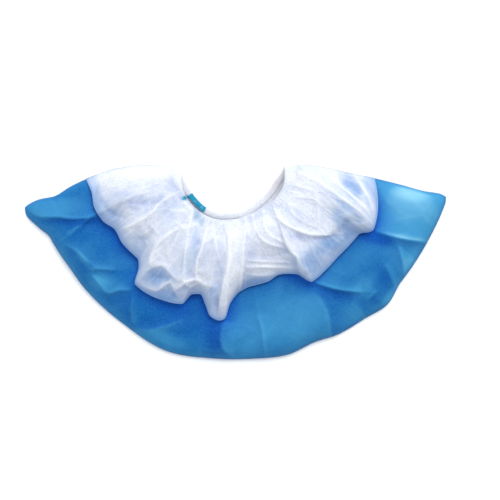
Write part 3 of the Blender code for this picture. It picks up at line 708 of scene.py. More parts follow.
def tinted(plan, tints):
    """How strongly the soft patches of a table cover each plan point, from 0 to 1."""
    bare = np.ones(plan.shape[:-1])
    scale = FAN_RADIUS / PHOTO_RADIUS
    for tint in tints:
        turn = np.radians(tint.turn)
        away = (plan - on_photo((tint.x, tint.y))) / scale
        u = (away @ (np.cos(turn), np.sin(turn))) / tint.long
        v = (away @ (-np.sin(turn), np.cos(turn))) / tint.short
        bare *= 1 - tint.strength * np.exp(-(u * u + v * v) ** 1.5)
    return 1 - bare


def blurred(height, reach):
    """A grid's height averaged over a square of cells."""
    for axis in (0, 1):
        padded = np.pad(height, [(reach, reach) if k == axis else (0, 0) for k in (0, 1)],
                        mode="edge")
        total = np.cumsum(np.insert(padded, 0, 0, axis=axis), axis=axis)
        count = height.shape[axis]
        high = np.take(total, range(2 * reach + 1, 2 * reach + 1 + count), axis=axis)
        low = np.take(total, range(count), axis=axis)
        height = (high - low) / (2 * reach + 1)
    return height


def crests_and_valleys(height):
    """How far each grid point lies above and below its surroundings, from 0 to 1."""
    near = (height - blurred(height, NEAR_CELLS)) / NEAR_RISE
    wide = (height - blurred(height, WIDE_CELLS)) / WIDE_RISE
    both = RISE_SHARE * near + RISE_SHARE * wide
    return np.clip(both, 0, 1), np.clip(-both, 0, 1)


def toned(plan, height, sides, drawn, lights, darks, tones):
    """How much painted light, and painted shade, each grid point gets from its tints and its relief."""
    crest, valley = crests_and_valleys(height)
    light = np.maximum(tinted(plan, lights), drawn) + tones.crest * crest
    light = light + tones.lit * np.maximum(-sides, 0)
    dark = tinted(plan, darks) + tones.valley * valley + tones.unlit * np.maximum(sides, 0)
    return light, np.clip(dark, 0, 1)


def to_edges(plan):
    """Distance of plan points to the nearer end weld, and to the sole fold."""
    angle, radius = fan_of(plan)
    left, right = (np.interp(radius, [p.radius for p in weld], [p.angle for p in weld])
                   for weld in (LEFT_WELD, RIGHT_WELD))
    inside = np.minimum(left - angle, angle - right)
    to_weld = np.radians(np.maximum(inside, 0)) * radius * FAN_RADIUS
    return to_weld, np.maximum(read_table(SOLE_FOLD, angle) - radius, 0) * FAN_RADIUS


def blue_height(plan, sizes):
    """Height of the middle of the blue front layer above the floor."""
    to_weld, to_fold = to_edges(plan)
    lift = rounded(to_weld, WELD_REACH) * rounded(to_fold, FOLD_REACH)
    relief, _, _ = fold_relief(plan, BLUE_FOLDS)
    swell = BLUE_SWELL_HEIGHT * waves(plan, BLUE_SWELL)
    crinkle = sizes.crinkle * (BLUE_CREASE_SHARE * creases(plan, BLUE_CREASES)
                               + waves(plan, BLUE_WAVES))
    puffed = (sizes.body_loft + relief + swell + crinkle) * lift
    return UPPER_LAYER * sizes.cloth + np.maximum(puffed, 0)


def edge_lift(plan):
    """How high the collar's lower edge floats above the blue web at plan points."""
    return MM * read_table(EDGE_LIFTS, fan_of(plan)[0])


def edge_shade(plan):
    """How much the collar's floating edge shades the blue web beside it, from 0 to 1."""
    edge = across(COLLAR_EDGE, np.linspace(0, 1, EDGE_STATIONS))
    shade = np.zeros(plan.shape[:-1])
    for point, lift in zip(edge, edge_lift(edge)):
        away = np.linalg.norm(plan - point, axis=-1)
        near = np.exp(-away / (EDGE_SHADE_REACH + lift)) * min(lift / FULL_SHADE_LIFT, 1)
        shade = np.maximum(shade, near)
    return shade


def grid_object(name, points, closed=False):
    """A mesh object from a grid of points, which may close on itself both ways. It alone is
    selected."""
    rows, columns = points.shape[:2]
    index = np.arange(rows * columns).reshape(rows, columns)
    if closed:
        index = np.pad(index, (0, 1), mode="wrap")
    quads = np.stack([index[:-1, :-1], index[1:, :-1], index[1:, 1:], index[:-1, 1:]], axis=-1)
    mesh = bpy.data.meshes.new(name)
    mesh.from_pydata(points.reshape(-1, 3).tolist(), [], quads.reshape(-1, 4).tolist())
    obj = bpy.data.objects.new(name, mesh)
    bpy.context.scene.collection.objects.link(obj)
    bpy.ops.object.select_all(action="DESELECT")
    obj.select_set(True)
    bpy.context.view_layer.objects.active = obj
    return obj


def add_marks(mesh, uv, marks):
    """Give a grid's mesh its cloth map and its point marks, and shade it smooth."""
    corner = np.zeros(len(mesh.loops), np.int32)
    mesh.loops.foreach_get("vertex_index", corner)
    layer = mesh.uv_layers.new(name="Cloth")
    layer.data.foreach_set("uv", uv.reshape(-1, 2)[corner].astype(np.float32).ravel())
    for mark, values in marks.items():
        attribute = mesh.attributes.new(mark, "FLOAT", "POINT")
        attribute.data.foreach_set("value", np.asarray(values, np.float32).ravel())
    mesh.shade_smooth()


def cloth_uv(plan):
    """Cloth coordinates in metres: along the fan at its middle radius, and outwards."""
    angle, radius = fan_of(plan)
    return np.stack([np.radians(angle) * MIDDLE_RADIUS * FAN_RADIUS, radius * FAN_RADIUS], axis=-1)


def sheet_object(name, points, marks, thickness):
    """A sheet from a grid of points, with its map, its point marks and its wall."""
    obj = grid_object(name, points)
    add_marks(obj.data, cloth_uv(points[..., :2]), marks)
    bpy.ops.object.modifier_add(type="SOLIDIFY")
    wall = obj.modifiers[0]
    wall.thickness = thickness
    wall.offset = 0
    bpy.ops.object.modifier_apply(modifier=wall.name)
    return obj


def add_node(tree, kind, values=None, links=None, **settings):
    """Add a node with its own settings, socket values and links from other sockets."""
    made = tree.nodes.new(kind)
    for name, value in settings.items():
        setattr(made, name, value)
    for socket, value in (values or {}).items():
        made.inputs[socket].default_value = value
    for socket, source in (links or {}).items():
        tree.links.new(source, made.inputs[socket])
    return made


def new_material(name):
    """An empty node material, its tree, and the coordinates of the piece."""
    material = bpy.data.materials.new(name)
    material.use_nodes = True
    tree = material.node_tree
    tree.nodes.clear()
    return material, tree, add_node(tree, "ShaderNodeTexCoord").outputs


def layered(tree, base, layers):
    """A base colour with other colours laid over it in turn. A layer is a point mark's name
    or a socket, the factor and offset that make that value a cover from 0 to 1, and a colour."""
    under = None
    for source, factor, offset, colour in layers:
        if isinstance(source, str):
            source = add_node(tree, "ShaderNodeAttribute", attribute_name=source).outputs["Fac"]
        cover = add_node(tree, "ShaderNodeMath", {1: factor, 2: offset}, {0: source},
                         operation="MULTIPLY_ADD", use_clamp=True)
        mix = add_node(tree, "ShaderNodeMix", {6: (*base, 1), 7: (*colour, 1)},
                       {0: cover.outputs[0]}, data_type="RGBA")
        if under:
            tree.links.new(under, mix.inputs[6])
        under = mix.outputs[2]
    return under


def bond_points(tree, uv, pitch):
    """Height pattern of the rows of oval points where the fibres are pressed together."""
    turned = add_node(tree, "ShaderNodeMapping", {"Rotation": (0, 0, np.pi / 4)}, {"Vector": uv})
    axes = add_node(tree, "ShaderNodeSeparateXYZ", links={0: turned.outputs[0]})
    rows = []
    for axis in ("X", "Y"):
        phase = add_node(tree, "ShaderNodeMath", {1: 2 * np.pi / pitch}, {0: axes.outputs[axis]},
                         operation="MULTIPLY")
        wave = add_node(tree, "ShaderNodeMath", links={0: phase.outputs[0]}, operation="SINE")
        rows.append(wave.outputs[0])
    both = add_node(tree, "ShaderNodeMath", links={0: rows[0], 1: rows[1]}, operation="MULTIPLY")
    return both.outputs[0]


def cloth_bump(tree, where, pitch, depth, fibre_depth):
    """Normal of pressed bond points with a fine felt of fibres and small crinkles."""
    fibres = add_node(tree, "ShaderNodeTexNoise",
                      {"Scale": 1 / (1.1 * MM), "Detail": 3.0, "Roughness": 0.6},
                      {"Vector": where["Object"]})
    crinkle = add_node(tree, "ShaderNodeTexNoise",
                       {"Scale": 1 / (6 * MM), "Detail": 4.0, "Roughness": 0.55,
                        "Distortion": 0.6}, {"Vector": where["Object"]})
    points = bond_points(tree, where["UV"], pitch)
    normal = None
    for height, distance in ((points, depth), (fibres.outputs[0], fibre_depth),
                             (crinkle.outputs[0], 0.5 * MM)):
        links = {"Height": height, "Normal": normal} if normal else {"Height": height}
        bump = add_node(tree, "ShaderNodeBump", {"Strength": 1.0, "Distance": distance}, links)
        normal = bump.outputs[0]
    return normal


def cloth_shader(tree, colour, normal, roughness, gloss, see_through):
    """Cloth that reflects and lets through light of its own colour."""
    shader = add_node(tree, "ShaderNodeBsdfPrincipled",
                      {"Roughness": roughness, "Specular IOR Level": gloss, "IOR": 1.49},
                      {"Base Color": colour, "Normal": normal})
    glow = add_node(tree, "ShaderNodeBsdfTranslucent", links={"Color": colour, "Normal": normal})
    mixed = add_node(tree, "ShaderNodeMixShader", {0: see_through},
                     {1: shader.outputs[0], 2: glow.outputs[0]})
    add_node(tree, "ShaderNodeOutputMaterial", links={0: mixed.outputs[0]})


def spunbond_white(name, colours):
    """White spunbond polypropylene: matt, soft, thin enough to let the blue show through."""
    material, tree, where = new_material(name)
    cloudy = add_node(tree, "ShaderNodeTexNoise", {"Scale": 1 / (5 * MM), "Detail": 3.0},
                      {"Vector": where["Object"]})
    fine = add_node(tree, "ShaderNodeTexNoise",
                    {"Scale": 1 / (1.3 * MM), "Detail": 2.0, "Roughness": 0.6},
                    {"Vector": where["Object"]})
    # Painted shade, painted light and the mouth's painted shade over the white, with fibre clouds and
    # grain, and the blue and teal behind it
    colour = layered(tree, colours.white, [
        ("shade", 1.0, 0.0, colours.shade), (cloudy.outputs[0], 1.4, -0.6, colours.doubled_and_lit_white),
        ("on_blue", 1.0, 0.0, colours.over_blue), ("bright", 0.9, 0.0, colours.doubled_and_lit_white),
        (fine.outputs[0], 1.7, -0.8, colours.shade), ("dim", 1.0, 0.0, colours.inside),
        ("teal", 1.0, 0.0, colours.teal)])
    # The real bond points are about 1 mm apart; 1.8 mm is as fine as the render shows
    normal = cloth_bump(tree, where, pitch=1.8 * MM, depth=0.05 * MM, fibre_depth=0.12 * MM)
    cloth_shader(tree, colour, normal, roughness=0.85, gloss=0.15, see_through=0.36)
    return material


def coated_blue(name, colours):
    """Blue nonwoven with a thin film coat: satin and a little mottled, with painted light on its
    crests and lit facets and painted shade in its valleys and in the collar's shadow.
    """
    material, tree, where = new_material(name)
    cloudy = add_node(tree, "ShaderNodeTexNoise",
                      {"Scale": 1 / (22 * MM), "Detail": 4.0, "Distortion": 0.4},
                      {"Vector": where["Object"]})
    speckle = add_node(tree, "ShaderNodeTexNoise", {"Scale": 1 / (1.2 * MM), "Detail": 2.0},
                       {"Vector": where["Object"]})
    # Mottle and speckle, with painted light, painted shade and the collar's painted shadow
    colour = layered(tree, colours.blue, [
        (cloudy.outputs[0], 0.6, -0.26, colours.mottled_and_lit_blue),
        ("light", 0.85, 0.0, colours.mottled_and_lit_blue), ("light", 1.5, -1.0, colours.blue_pale),
        ("deep", 0.95, 0.0, colours.painted_shade_blue), ("shaded", 0.9, 0.0, colours.blue_shaded),
        (speckle.outputs[0], 0.35, -0.13, colours.mottled_and_lit_blue)])
    # The real emboss is about 0.8 mm apart; 1.6 mm is as fine as the render shows
    normal = cloth_bump(tree, where, pitch=1.6 * MM, depth=0.04 * MM, fibre_depth=0.08 * MM)
    cloth_shader(tree, colour, normal, roughness=0.5, gloss=0.08, see_through=0.12)
    return material


def covered_elastic(name, colours):
    """Teal covered elastic: ribbed thread, paler in patches."""
    material, tree, where = new_material(name)
    cloudy = add_node(tree, "ShaderNodeTexNoise", {"Scale": 1 / (2.2 * MM), "Detail": 2.0},
                      {"Vector": where["Object"]})
    colour = layered(tree, colours.teal, [(cloudy.outputs[0], 1.2, -0.66, colours.white)])
    normal = cloth_bump(tree, where, pitch=1.0 * MM, depth=0.08 * MM, fibre_depth=0.1 * MM)
    cloth_shader(tree, colour, normal, roughness=0.7, gloss=0.15, see_through=0.1)
    return material


def floor_paint(name, colours):
    """Matt white studio floor."""
    material, tree, _ = new_material(name)
    shader = add_node(tree, "ShaderNodeBsdfPrincipled",
                      {"Base Color": (*colours.floor, 1), "Roughness": 0.9})
    add_node(tree, "ShaderNodeOutputMaterial", links={0: shader.outputs[0]})
    return material


def finish_piece(piece, make_material, material_name, node):
    """Give a piece its material, made once for all pieces of it, and its place in the model."""
    colours = bpy.context.scene.cover_colours
    material = bpy.data.materials.get(material_name) or make_material(material_name, colours)
    piece.data.materials.clear()
    piece.data.materials.append(material)
    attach(piece, "root")
    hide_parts(node)
    return piece


def with_round_tips(plan):
    """Plan points of the web with its two tips drawn in to a rounded end."""
    for tip in TIPS:
        corner = polar(*tip.corner)
        near = 1 - np.linalg.norm(plan - corner, axis=-1) / (tip.reach * MM)
        inward = FAN_CENTRE - corner
        inward = inward / np.linalg.norm(inward)
        plan = plan + inward * (tip.pull * MM * np.clip(near, 0, 1) ** 2)[..., None]
    return plan


def make_blue_web(sizes):
    """The blue web: creased front layer, sole fold and flat back layer in one sheet."""
    stations = np.linspace(0, 1, COLUMNS)
    join, fold = across(JOIN_LINE, stations), across(SOLE_FOLD, stations)
    plan = patch(join, fold, LEFT_WELD_LOW, RIGHT_WELD_LOW, np.linspace(0, 1, BODY_ROWS))
    height = blue_height(plan, sizes)
    _, lines, sides = fold_relief(plan, BLUE_FOLDS)
    # Painted light along the welds and the sole fold, where the web turns over
    turned = np.exp(-np.minimum(*to_edges(plan)) / TURN_REACH)
    drawn = np.maximum(BLUE_LINE_LIGHT * lines, BLUE_TURN_LIGHT * turned)
    light, deep = toned(plan, height, sides, drawn, BLUE_LIGHTS, BLUE_SHADES, BLUE_TONES)
    marks = {"light": np.clip(light, 0, 1), "deep": deep, "shaded": edge_shade(plan)}
    outward = (fold - join) / np.linalg.norm(fold - join, axis=1)[:, None]
    turn = raised(fold + outward * SOLE_TURN_OUT * sizes.cloth,
                  np.full(COLUMNS, SOLE_TURN_HEIGHT * sizes.cloth))
    back = plan[::-1][::BODY_ROWS // BACK_ROWS]
    back = raised(back, np.full(back.shape[:2], sizes.cloth / 2))
    points = np.concatenate([raised(plan, height), turn[None], back])
    points[..., :2] = with_round_tips(points[..., :2])
    below = np.zeros((len(points) - BODY_ROWS, COLUMNS))
    marks = {name: np.concatenate([values, below]) for name, values in marks.items()}
    return sheet_object("blue_web", points, marks, sizes.cloth)


def rim_height(stations, sizes):
    """Height of the middle of the front rim, which gapes most at its centre."""
    stacked = sizes.hem_thickness * RIM_STACK + RIM_CLEARANCE
    return stacked + sizes.mouth_gape * np.sin(np.pi * stations) ** GAPE_FULLNESS


def pleats(s, v, row):
    """Sharp crests with soft valleys that run down the cloth, from 0 to 1."""
    wide, fine, uneven = (
        drift(np.stack([s * row.count * cells[0], v * cells[1]], axis=-1), row.seed + k)
        for k, cells in enumerate(PLEAT_CELLS))
    sway = wide + PLEAT_FINE_SWAY * fine
    strength = PLEAT_MEAN + (1 - PLEAT_MEAN) * uneven
    return strength * (1 - np.abs(np.sin(np.pi * (s * row.count + sway))) ** PLEAT_SHARPNESS)


def gathers(stations, rows, sizes):
    """Pleats that fan out from the elastic, finest at the rim, and the painted highlights on
    their crests.
    """
    s, v = np.meshgrid(stations, rows)
    total = np.zeros(s.shape)
    lines = np.zeros(s.shape)
    for row in PLEAT_ROWS:
        crest = pleats(s, v, row)
        faded = ease((v - row.start + PLEAT_LEAD) / PLEAT_RISE)
        faded = faded * (1 - ease((v - row.start) / (row.end - row.start)))
        total += row.share * sizes.gather_height * crest * faded
        lines = np.maximum(lines, crest ** 3 * faded)
    return total, lines


def collar_roll(stations, sizes):
    """The soft roll along the front strip's lower edge."""
    edge, join = across(COLLAR_EDGE, stations), across(JOIN_LINE, stations)
    inward = (join - edge) / np.linalg.norm(join - edge, axis=1)[:, None]
    full = ROLL_AT_WELD + (1 - ROLL_AT_WELD) * ease(to_row_ends(edge) / ROLL_WELD_REACH)
    uneven = drift(np.stack([stations * ROLL_WAVES.cells, stations * 0], axis=-1),
                   ROLL_WAVES.seed)
    radius = sizes.roll_radius * full * (1 + ROLL_UNEVENNESS * uneven)
    under = edge + inward * radius[:, None]
    middle = blue_height(under, sizes) + WEB_GAP * sizes.cloth + radius + edge_lift(edge)
    return Roll(edge, under, inward, radius, middle)


def collar_shape(stations, rows, sizes):
    """The front strip's puffed shape with folds and pleats, their lines and steep sides."""
    rim, _ = rim_line(FRONT_RIM, FRONT_TUCK * sizes.hem_width, stations)
    roll = collar_roll(stations, sizes)
    plan = patch(rim, roll.under, LEFT_WELD_TOP, RIGHT_WELD_TOP, rows)
    lift = rounded(to_row_ends(plan), COLLAR_WELD_REACH)
    t = rows[:, None]
    over_hem = rim_height(stations, sizes) + sizes.hem_thickness / 2 + sizes.cloth
    base = (1 - ease(t)) * over_hem + ease(t) * (roll.middle + roll.radius)
    welded = UPPER_LAYER * sizes.cloth
    height = welded + (base - welded) * np.maximum(lift, 1 - 4 * t * (1 - t))
    height += sizes.collar_loft * read_table(COLLAR_PROFILE, t) * lift
    held = FOLD_HOLD * ease((t - FOLD_END) / (1 - FOLD_END))
    free = lift * ease(0.5 + t / FOLD_START) * (1 - held)
    relief, lines, sides = fold_relief(plan, WHITE_FOLDS)
    pleated, crests = gathers(stations, rows, sizes)
    busy = 1 - tinted(plan, CALM_PATCHES)
    height += free * (relief + busy * pleated)
    return raised(plan, height), np.maximum(lines, PLEAT_LIGHT * busy * crests), sides


def settled(points):
    """A grid of cloth points after its excess, gathered by the elastic, has settled."""
    obj = grid_object("settling", points)
    obj.shape_key_add(name="Basis")
    cut = obj.shape_key_add(name="Cut")
    cut.data.foreach_set("co", cut_shape(points).astype(np.float32).ravel())
    index = np.arange(points[..., 0].size).reshape(points.shape[:2])
    border = np.ones(index.shape, bool)
    border[1:-1, 1:-1] = False
    held = obj.vertex_groups.new(name="Held")
    held.add(index[border].tolist(), 1.0, "REPLACE")
    held.add(index[-2, 1:-1].tolist(), NEXT_ROW_HOLD, "REPLACE")
    bpy.ops.object.modifier_add(type="CLOTH")
    cloth = obj.modifiers[-1]
    for name, value in SETTLING.items():
        setattr(cloth.settings, name, value)
    cloth.settings.vertex_group_mass = held.name
    cloth.settings.rest_shape_key = cut
    cloth.settings.effector_weights.gravity = SETTLING_GRAVITY
    cloth.collision_settings.use_collision = False
    cloth.point_cache.frame_start = 1
    cloth.point_cache.frame_end = SETTLING_FRAMES
    for frame_number in range(1, SETTLING_FRAMES + 1):
        bpy.context.scene.frame_set(frame_number)
    shape = obj.evaluated_get(bpy.context.evaluated_depsgraph_get()).data
    after = np.zeros(points.size, np.float32)
    shape.vertices.foreach_get("co", after)
    bpy.context.scene.frame_set(1)
    bpy.data.meshes.remove(obj.data)
    return after.reshape(points.shape).astype(float)


def cut_shape(points):
    """The flat fan that the gathered strip was cut to, wider than what the elastic holds."""
    rows = len(points)
    t = np.linspace(0, 1, rows)[:, None]
    deep = np.linalg.norm(np.diff(points, axis=0), axis=-1).mean(axis=1)
    depth = np.concatenate([[0], np.cumsum(deep)])[:, None]
    wide = np.linalg.norm(np.diff(points, axis=1), axis=-1)
    wide = wide * (RIM_EXCESS + (EDGE_EXCESS - RIM_EXCESS) * t)
    x = np.concatenate([np.zeros((rows, 1)), np.cumsum(wide, axis=1)], axis=1)
    total = x[:, -1]
    spread = max((total[-1] - total[0]) / depth[-1, 0], LEAST_SPREAD)
    radius = total[0] / spread + depth
    angle = x / radius
    angle -= angle[:, -1:] / 2
    return np.stack([radius * np.sin(angle), -radius * np.cos(angle), 0 * angle], axis=-1)


def resampled(grid, rows, columns):
    """A grid read at other rows and columns, which are shares from 0 to 1."""
    for axis, wanted in ((0, rows), (1, columns)):
        place = wanted * (grid.shape[axis] - 1)
        low = np.minimum(place.astype(int), grid.shape[axis] - 2)
        share = (place - low).reshape([-1 if k == axis else 1 for k in range(grid.ndim)])
        first, second = np.take(grid, low, axis=axis), np.take(grid, low + 1, axis=axis)
        grid = first + (second - first) * share
    return grid


def crumples(plan, rows, sizes):
    """Height of the small creases and waves of packed cloth, and their bright lines: whiter
    cloth folded double, with a painted highlight.
    """
    t = rows[:, None]
    free = rounded(to_row_ends(plan), COLLAR_WELD_REACH) * ease(t / CRINKLE_START)
    free = free * (1 - ease((t - CRINKLE_END) / (1 - CRINKLE_END)))
    cloth = cloth_uv(plan)
    net = creases(cloth, WHITE_CREASES) * (1 - tinted(plan, CALM_PATCHES))
    fine_net = creases(cloth, WHITE_FINE_CREASES)
    height = WHITE_CREASE_SHARE * net + WHITE_FINE_SHARE * fine_net + waves(plan, WHITE_WAVES)
    lines = np.maximum(CREASE_LIGHT * net ** 2, FINE_CREASE_LIGHT * fine_net ** 2)
    return free * sizes.crinkle * height, free * lines


def front_marks(plan, height, below, lines, sides):
    """The front strip's point marks: its painted light and painted shade, and where it shows
    blue or teal.
    """
    angle, radius = fan_of(plan)
    over_web = ease((radius - read_table(JOIN_LINE, angle)) / JOIN_BLUR + 0.5)
    close = np.exp(-(height - below) / CLOSE_HEIGHT)
    near_blue = over_web * (BLUE_BEHIND + BLUE_CLOSE_BEHIND * close)
    at_edge = np.exp(-np.linalg.norm(plan - plan[-1], axis=-1) / EDGE_FADE)
    clear = (1 - near_blue) * (1 - tinted(plan, BLUE_GLIMPSES)) * (1 - EDGE_BLUE * at_edge)
    bright, shade = toned(plan, height, sides, lines, WHITE_LIGHTS, WHITE_SHADES, WHITE_TONES)
    return {"bright": np.clip(bright * (1 - EDGE_DULLING * at_edge), 0, 1), "shade": shade,
            "on_blue": 1 - clear, "teal": tinted(plan, TEAL_GLIMPSES),
            "dim": np.zeros(height.shape)}


def turned_under(roll, join, sizes):
    """Rows of points that go round the roll and back under the collar to the join."""
    rows = []
    for a in ROLL_ANGLES:
        ring = roll.edge + roll.inward * (roll.radius * (1 - np.cos(a)))[:, None]
        rows.append(raised(ring, roll.middle + roll.radius * np.sin(a)))
    low = ring
    for share in RETURN_SHARES:
        back = low + (join - low) * share
        floating = edge_lift(roll.edge) * (1 - share) ** 2
        rows.append(raised(back, blue_height(back, sizes) + WEB_GAP * sizes.cloth + floating))
    return np.stack(rows)


def make_collar_front(sizes):
    """The puffed white strip in front, gathered at its rim and turned under below."""
    stations = np.linspace(0, 1, COLUMNS)
    rows = np.linspace(0, 1, COLLAR_ROWS)
    points, lines, sides = collar_shape(stations, rows, sizes)
    coarse, _, _ = collar_shape(np.linspace(0, 1, SIM_COLUMNS), np.linspace(0, 1, SIM_ROWS),
                                sizes)
    points = points + resampled(settled(coarse) - coarse, rows, stations)
    plan = points[..., :2]
    roll = collar_roll(stations, sizes)
    crumpled, netted = crumples(plan, rows, sizes)
    below = blue_height(plan, sizes)
    height = np.maximum(points[..., 2] + crumpled, below + WEB_GAP * sizes.cloth)
    height[-1] = roll.middle + roll.radius
    marks = front_marks(plan, height, below, np.maximum(lines, netted), sides)
    turned = turned_under(roll, across(JOIN_LINE, stations), sizes)
    for name, values in marks.items():
        unseen = np.full(turned.shape[:2], EDGE_BLUE if name == "on_blue" else 0.0)
        marks[name] = np.concatenate([values, unseen])
    points = np.concatenate([raised(plan, height), turned])
    return sheet_object("white_collar_front", points, marks, sizes.cloth)


def make_collar_back(sizes):
    """The back white strip, which lies flat and shows inside the opening."""
    stations = np.linspace(0, 1, COLUMNS)
    rows = np.linspace(0, 1, BACK_STRIP_ROWS)
    rim, _ = rim_line(BACK_RIM, BACK_TUCK * sizes.hem_width, stations)
    plan = patch(rim, across(JOIN_LINE, stations), LEFT_WELD_TOP, RIGHT_WELD_TOP, rows)
    t = rows[:, None]
    free = rounded(to_row_ends(plan), BACK_WELD_REACH)
    free = free * ease(t / BACK_START) * ease((1 - t) / (1 - BACK_END))
    pleated, crests = gathers(stations, rows, sizes)
    uneven = BACK_WAVE_HEIGHT * (1 + waves(plan, BACK_WAVES)) + BACK_PLEAT_SHARE * pleated
    height = sizes.cloth / 2 + free * uneven
    _, valley = crests_and_valleys(height)
    # Painted light on the strip's crests, painted shade in its valleys and in the mouth's shade
    marks = {"on_blue": np.zeros(height.shape), "teal": np.zeros(height.shape),
             "bright": BACK_BRIGHT + BACK_CREST_LIGHT * crests,
             "shade": BACK_SHADE + BACK_VALLEY_SHADE * valley,
             "dim": tinted(plan, MOUTH_SHADES)}
    return sheet_object("white_collar_back", raised(plan, height), marks, sizes.cloth)


def hem_loop(sizes):
    """Centre points, width directions and flatness of the closed elastic loop, front first."""
    fine = np.linspace(0, 1, FINE_STATIONS)
    front, front_side = rim_line(FRONT_RIM, sizes.hem_width / 2, fine)
    back, back_side = rim_line(BACK_RIM, sizes.hem_width / 2, fine)
    high = rim_height(fine, sizes)
    low = np.full(FINE_STATIONS, BACK_FLATNESS * sizes.hem_thickness / 2)
    middle, turn_radius = (high[-1] + low[-1]) / 2, (high[-1] - low[-1]) / 2
    centres, sides, flatness = [], [], []
    for plan, side, height, way in ((front, front_side, high, 1),
                                    (back[::-1], back_side[::-1], low, -1)):
        centres += list(raised(plan, height))
        sides += list(side)
        flatness += [[1.0 if way > 0 else BACK_FLATNESS]] * FINE_STATIONS
        ahead = plan[-1] - plan[-2]
        ahead /= np.linalg.norm(ahead)
        for a in LOOP_TURN:
            turned = plan[-1] + ahead * turn_radius * np.sin(a)
            centres.append((*turned, middle + way * turn_radius * np.cos(a)))
            sides.append(side[-1])
            flatness.append([0.5 + 0.5 * BACK_FLATNESS])
    return np.array(centres), np.array(sides), np.array(flatness)


def make_hem(sizes):
    """The gathered elastic edge: one closed loop of a flat tube, puckered all the way."""
    loop = [np.vstack([values, values[:1]]) for values in hem_loop(sizes)]
    steps = np.linalg.norm(np.diff(loop[0], axis=0), axis=1)
    lengths = np.concatenate([[0], np.cumsum(steps)])
    count = int(round(lengths[-1] / sizes.gather_pitch)) * STEPS_A_GATHER
    wanted = np.arange(count) / count * lengths[-1]
    centres, sides, flatness = (
        np.stack([np.interp(wanted, lengths, column) for column in values.T], axis=-1)
        for values in loop)
    tangent = np.roll(centres, -1, axis=0) - np.roll(centres, 1, axis=0)
    tangent /= np.linalg.norm(tangent, axis=1)[:, None]
    band = raised(sides, np.zeros(count))
    band -= tangent * np.sum(band * tangent, axis=1)[:, None]
    band /= np.linalg.norm(band, axis=1)[:, None]
    thick = np.cross(tangent, band)
    gather = np.arange(count) / STEPS_A_GATHER
    a = 2 * np.pi * (np.arange(HEM_SIDES) + 0.5) / HEM_SIDES
    where = np.stack(np.broadcast_arrays(gather[:, None], a[None]), axis=-1)
    sway, depth, bulge = (drift(where * noise.cells, noise.seed)
                          for noise in (HEM_SWAY, HEM_DEPTH, HEM_BULGE))
    pucker = np.abs(np.sin(np.pi * (gather[:, None] + PUCKER_SWAY * sway))) ** PLEAT_SHARPNESS
    pucker = pucker * (PLEAT_MEAN + (1 - PLEAT_MEAN) * depth)
    swelled = 1 - PUCKER_THICKNESS + PUCKER_THICKNESS * pucker * (1 + PUCKER_BULGE * bulge)
    w = np.cos(a)[None] * sizes.hem_width / 2 * (1 - PUCKER_WIDTH + PUCKER_WIDTH * pucker)
    body = np.sign(np.sin(a)) * np.abs(np.sin(a)) ** HEM_SQUARENESS
    h = flatness * body[None] * sizes.hem_thickness / 2 * swelled
    points = centres[:, None] + band[:, None] * w[..., None] + thick[:, None] * h[..., None]
    plan = points[..., :2]
    # Painted shade in the pucker valleys, in shaded patches and in the mouth; painted light on the whole
    # hem and most on its pucker crests
    marks = {"shade": 1 - (1 - HEM_PUCKER_SHADE * (1 - pucker)) * (1 - tinted(plan, WHITE_SHADES)),
             "bright": HEM_BRIGHT + (1 - HEM_BRIGHT) * pucker, "dim": tinted(plan, MOUTH_SHADES),
             "teal": tinted(plan, TEAL_GLIMPSES), "on_blue": np.zeros(h.shape)}
    obj = grid_object("gathered_hem", points, closed=True)
    uv = np.stack([np.broadcast_to(wanted[:, None], w.shape), w], axis=-1)
    add_marks(obj.data, uv, marks)
    bpy.ops.object.mode_set(mode="EDIT")
    bpy.ops.mesh.select_all(action="SELECT")
    bpy.ops.mesh.normals_make_consistent(inside=False)
    bpy.ops.object.mode_set(mode="OBJECT")
    return obj


def make_elastic_end(sizes):
    """The teal end of the elastic, a thin ribbed strip that lies on the back rim."""
    start, end = BACK_RIM[0].angle, BACK_RIM[-1].angle
    first, last = ((angle - start) / (end - start) for angle in SPLICE_ANGLES)
    stations = np.linspace(first, last, ELASTIC_COLUMNS)
    middle, side = rim_line(BACK_RIM, sizes.hem_width / 2, stations)
    shares = np.linspace(*ELASTIC_SPAN, ELASTIC_ROWS)
    plan = middle[None] + side[None] * (shares[:, None, None] * sizes.hem_width)
    crown = ELASTIC_RISE + ELASTIC_CROWN * np.cos(np.pi * shares)[:, None]
    ribs = ELASTIC_RIB_HEIGHT * waves(plan, ELASTIC_RIBS)
    height = BACK_FLATNESS * sizes.hem_thickness + crown + ribs
    return sheet_object("elastic_end", raised(plan, height), {}, ELASTIC_THICKNESS)


